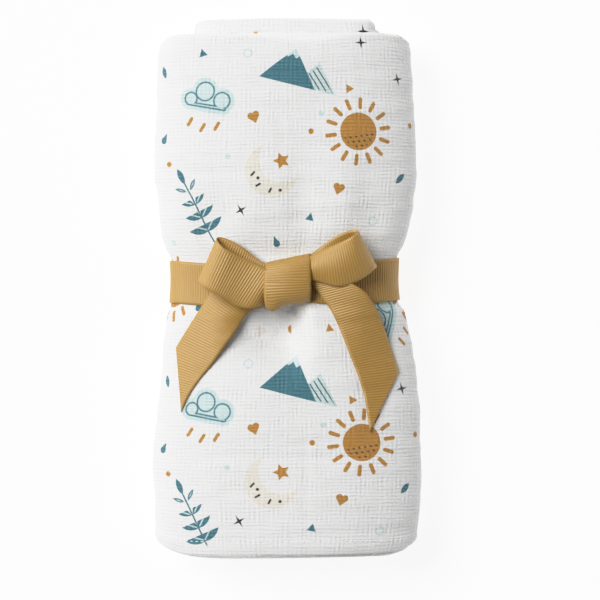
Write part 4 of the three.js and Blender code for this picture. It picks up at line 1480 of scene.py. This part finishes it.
class CribSheetStage(bpy.types.PropertyGroup):
    """Camera distance and strength of the lights."""

    distance: FloatProperty(name="Distance", description="Camera to object", default=1.7, unit="LENGTH")
    key: FloatProperty(name="Key", description="Power of the key light", default=148.0, unit="POWER")
    sky: FloatProperty(name="Sky", description="Strength of the surroundings overhead", default=0.16)
    ring: FloatProperty(name="Ring", description="Strength the surroundings gain at eye level",
                        default=0.66)
    ring_lean: FloatProperty(name="Ring lean", description="How much brighter the right side is",
                             default=0.20)
    glow: FloatProperty(name="Glow", description="How far the floor lights itself", default=1.05)


# Operators


class CRIBSHEET_OT_sheet(bpy.types.Operator):
    """Make the folded and rolled sheet"""

    bl_idname = "cribsheet.sheet"
    bl_label = "Make the sheet"

    def execute(self, context):
        clear_old(bpy.data.objects, "muslin_sheet")
        settings, colours = context.scene.cribsheet_cloth, context.scene.cribsheet_colours
        points, faces, uvs, reverse, flat = sheet_mesh(settings)
        sheet = new_piece("muslin_sheet", points, faces, uvs, reverse)
        sheet.data.materials.append(muslin_material(settings, colours))
        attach(sheet, "root")
        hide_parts("folded_sheet")
        return {"FINISHED"}


def surface_tree(piece):
    """A piece's faces, ready for rays and nearest points."""
    return BVHTree.FromPolygons([v.co for v in piece.data.vertices],
                                [tuple(p.vertices) for p in piece.data.polygons])


def ground_under(piece):
    """A function that gives the height of a piece's upper side, in millimetres."""
    tree = surface_tree(piece)
    high = cad_high.z + 0.05

    def height(x, y):
        hit = tree.ray_cast(Vector((x * MM, y * MM, high)), Vector((0, 0, -1)))[0]
        return hit.z / MM if hit is not None else CORE_HEIGHT

    return height


class CRIBSHEET_OT_ribbon(bpy.types.Operator):
    """Tie the ribbon round the sheet"""

    bl_idname = "cribsheet.ribbon"
    bl_label = "Make the ribbon"

    def execute(self, context):
        clear_old(bpy.data.objects, "ribbon_bow")
        settings = context.scene.cribsheet_ribbon
        ground = ground_under(bpy.data.objects["muslin_sheet"])
        points, faces, uvs, length = ribbon_mesh(settings, ground)
        ribbon = new_piece("ribbon_bow", points, faces, uvs)
        ribbon.data.materials.append(ribbon_material(settings))
        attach(ribbon, "root")
        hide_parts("ribbon")
        return {"FINISHED"}


class CRIBSHEET_OT_stitches(bpy.types.Operator):
    """Sew the hem that shows at the lower end"""

    bl_idname = "cribsheet.stitches"
    bl_label = "Make the hem stitches"

    def execute(self, context):
        clear_old(bpy.data.objects, "hem_stitches")
        settings = context.scene.cribsheet_stitches
        tree = surface_tree(bpy.data.objects["muslin_sheet"])
        end = FREE_EDGE + (TURNS - 1) * FULL_TURN
        turn = even_angles(end - SEAM_FROM, end - SEAM_TO, SEAM_STEPS)
        y = SECTIONS[0, 0] + settings.inset / MM
        line = rolled(np.full(len(turn), y), np.zeros(len(turn)), turn) * MM
        seated = []
        for point in line:
            hit, normal, _, away = tree.find_nearest(Vector(point))
            if hit is not None and away < SEAM_SEARCH:
                seated.append(hit + normal * settings.thread * SEAM_LIFT)
        mesh = bpy.data.meshes.new("hem_line")
        mesh.from_pydata(seated, [(k, k + 1) for k in range(len(seated) - 1)], [])
        line_piece = bpy.data.objects.new("hem_line", mesh)
        context.scene.collection.objects.link(line_piece)
        modifier = line_piece.modifiers.new("stitches", "NODES")
        material = thread_material(context.scene.cribsheet_colours)
        modifier.node_group = stitch_tree(material)
        set_input(modifier, "Pitch", settings.pitch)
        set_input(modifier, "Length", settings.length)
        set_input(modifier, "Thickness", settings.thread)
        context.view_layer.update()
        evaluated = line_piece.evaluated_get(context.evaluated_depsgraph_get())
        made = bpy.data.meshes.new_from_object(evaluated)
        bpy.data.objects.remove(line_piece, do_unlink=True)
        made.name = "hem_stitches"
        stitches = bpy.data.objects.new("hem_stitches", made)
        context.scene.collection.objects.link(stitches)
        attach(stitches, "root")
        return {"FINISHED"}


def area_light(name, place, target, size, power):
    """A round area light that faces a point."""
    light = bpy.data.lights.new(name, "AREA")
    light.shape = "DISK"
    light.size = size
    light.energy = power
    lamp = bpy.data.objects.new(name, light)
    lamp.location = place
    lamp.rotation_euler = (Vector(target) - Vector(place)).to_track_quat("-Z", "Y").to_euler()
    bpy.context.scene.collection.objects.link(lamp)


def make_floor(settings):
    """A pale floor that lights itself, so that it stays white."""
    mesh = bpy.data.meshes.new("floor")
    corners = ((-1, -1), (1, -1), (1, 1), (-1, 1))
    mesh.from_pydata([(x * FLOOR_REACH, y * FLOOR_REACH, FLOOR_LEVEL) for x, y in corners],
                     [], [(0, 1, 2, 3)])
    floor = bpy.data.objects.new("floor", mesh)
    bpy.context.scene.collection.objects.link(floor)
    material, _, shader = new_material("pale_floor")
    set_shader(shader, Base_Color=(0.62, 0.62, 0.62, 1), Roughness=0.9,
               Emission_Color=(1, 1, 1, 1), Emission_Strength=settings.glow)
    mesh.materials.append(material)


def make_surroundings(settings):
    """A white studio that is brightest in a ring at eye level."""
    world = bpy.data.worlds.new("studio")
    world.use_nodes = True
    graph = Graph(world.node_tree)
    background = world.node_tree.nodes["Background"]
    background.inputs["Color"].default_value = (1, 1, 1, 1)
    coordinate = graph.node("ShaderNodeTexCoord").outputs["Generated"]
    direction = graph.node("ShaderNodeSeparateXYZ", {"Vector": coordinate}).outputs
    low = graph.node("ShaderNodeMapRange", {"Value": direction[2], "From Min": 0.55, "From Max": 0.0},
                     interpolation_type="SMOOTHSTEP").outputs[0]
    ring = graph.add(settings.ring, graph.mul(direction[0], settings.ring_lean))
    graph.set(background.inputs["Strength"], graph.add(settings.sky, graph.mul(low, ring)))
    return world


def set_tone_curve(view):
    """Holds back the brightest parts, so that white cloth keeps its shades."""
    view.view_transform = "Standard"
    view.use_curve_mapping = True
    view.curve_mapping.white_level = [TONE_WHITE] * 3
    for bright, shown in TONE_CURVE:
        view.curve_mapping.curves[3].points.new(bright / TONE_WHITE, shown)
    view.curve_mapping.update()


def make_camera(settings):
    """The camera straight above, framed as the photo is."""
    camera = bpy.data.cameras.new("camera")
    camera.sensor_width = 36.0
    camera.lens = camera.sensor_width * settings.distance / (PHOTO_PIXELS * PIXEL * MM)
    holder = bpy.data.objects.new("camera", camera)
    off_x = (PHOTO_PIXELS / 2 - BUNDLE_AT[0]) * PIXEL * MM
    off_y = (BUNDLE_AT[1] - PHOTO_PIXELS / 2) * PIXEL * MM
    holder.location = (off_x, off_y, settings.distance + FOCUS_HEIGHT * MM)
    bpy.context.scene.collection.objects.link(holder)
    return holder


class CRIBSHEET_OT_stage(bpy.types.Operator):
    """Set up the floor, the lights and the camera"""

    bl_idname = "cribsheet.stage"
    bl_label = "Make the stage"

    def execute(self, context):
        settings = context.scene.cribsheet_stage
        make_floor(settings)
        context.scene.world = make_surroundings(settings)
        set_tone_curve(context.scene.view_settings)
        middle = (0, 0, FOCUS_HEIGHT * MM)
        area_light("key_light", KEY_PLACE, middle, KEY_WIDTH, settings.key)
        context.scene.camera = make_camera(settings)
        return {"FINISHED"}


class CRIBSHEET_PT_panel(bpy.types.Panel):
    """The crib sheet's operators and settings"""

    bl_label = "Crib sheet"
    bl_idname = "CRIBSHEET_PT_panel"
    bl_space_type = "VIEW_3D"
    bl_region_type = "UI"
    bl_category = "Crib sheet"

    def draw(self, context):
        layout = self.layout
        for operator in (CRIBSHEET_OT_sheet, CRIBSHEET_OT_ribbon, CRIBSHEET_OT_stitches,
                         CRIBSHEET_OT_stage):
            layout.operator(operator.bl_idname)
        for name in SETTINGS:
            box = layout.box()
            group = getattr(context.scene, name)
            for key in group.__annotations__:
                box.prop(group, key)


SETTINGS = {
    "cribsheet_cloth": CribSheetCloth,
    "cribsheet_colours": CribSheetColours,
    "cribsheet_ribbon": CribSheetRibbon,
    "cribsheet_stitches": CribSheetStitches,
    "cribsheet_stage": CribSheetStage,
}
CLASSES = (
    *SETTINGS.values(),
    CRIBSHEET_OT_sheet,
    CRIBSHEET_OT_ribbon,
    CRIBSHEET_OT_stitches,
    CRIBSHEET_OT_stage,
    CRIBSHEET_PT_panel,
)


def register():
    for item in CLASSES:
        bpy.utils.register_class(item)
    for name, group in SETTINGS.items():
        setattr(bpy.types.Scene, name, PointerProperty(type=group))


def unregister():
    for name in SETTINGS:
        delattr(bpy.types.Scene, name)
    for item in reversed(CLASSES):
        bpy.utils.unregister_class(item)


def main():
    register()
    bpy.ops.cribsheet.sheet()
    bpy.ops.cribsheet.ribbon()
    bpy.ops.cribsheet.stitches()
    bpy.ops.cribsheet.stage()


if __name__ == "__main__":
    main()
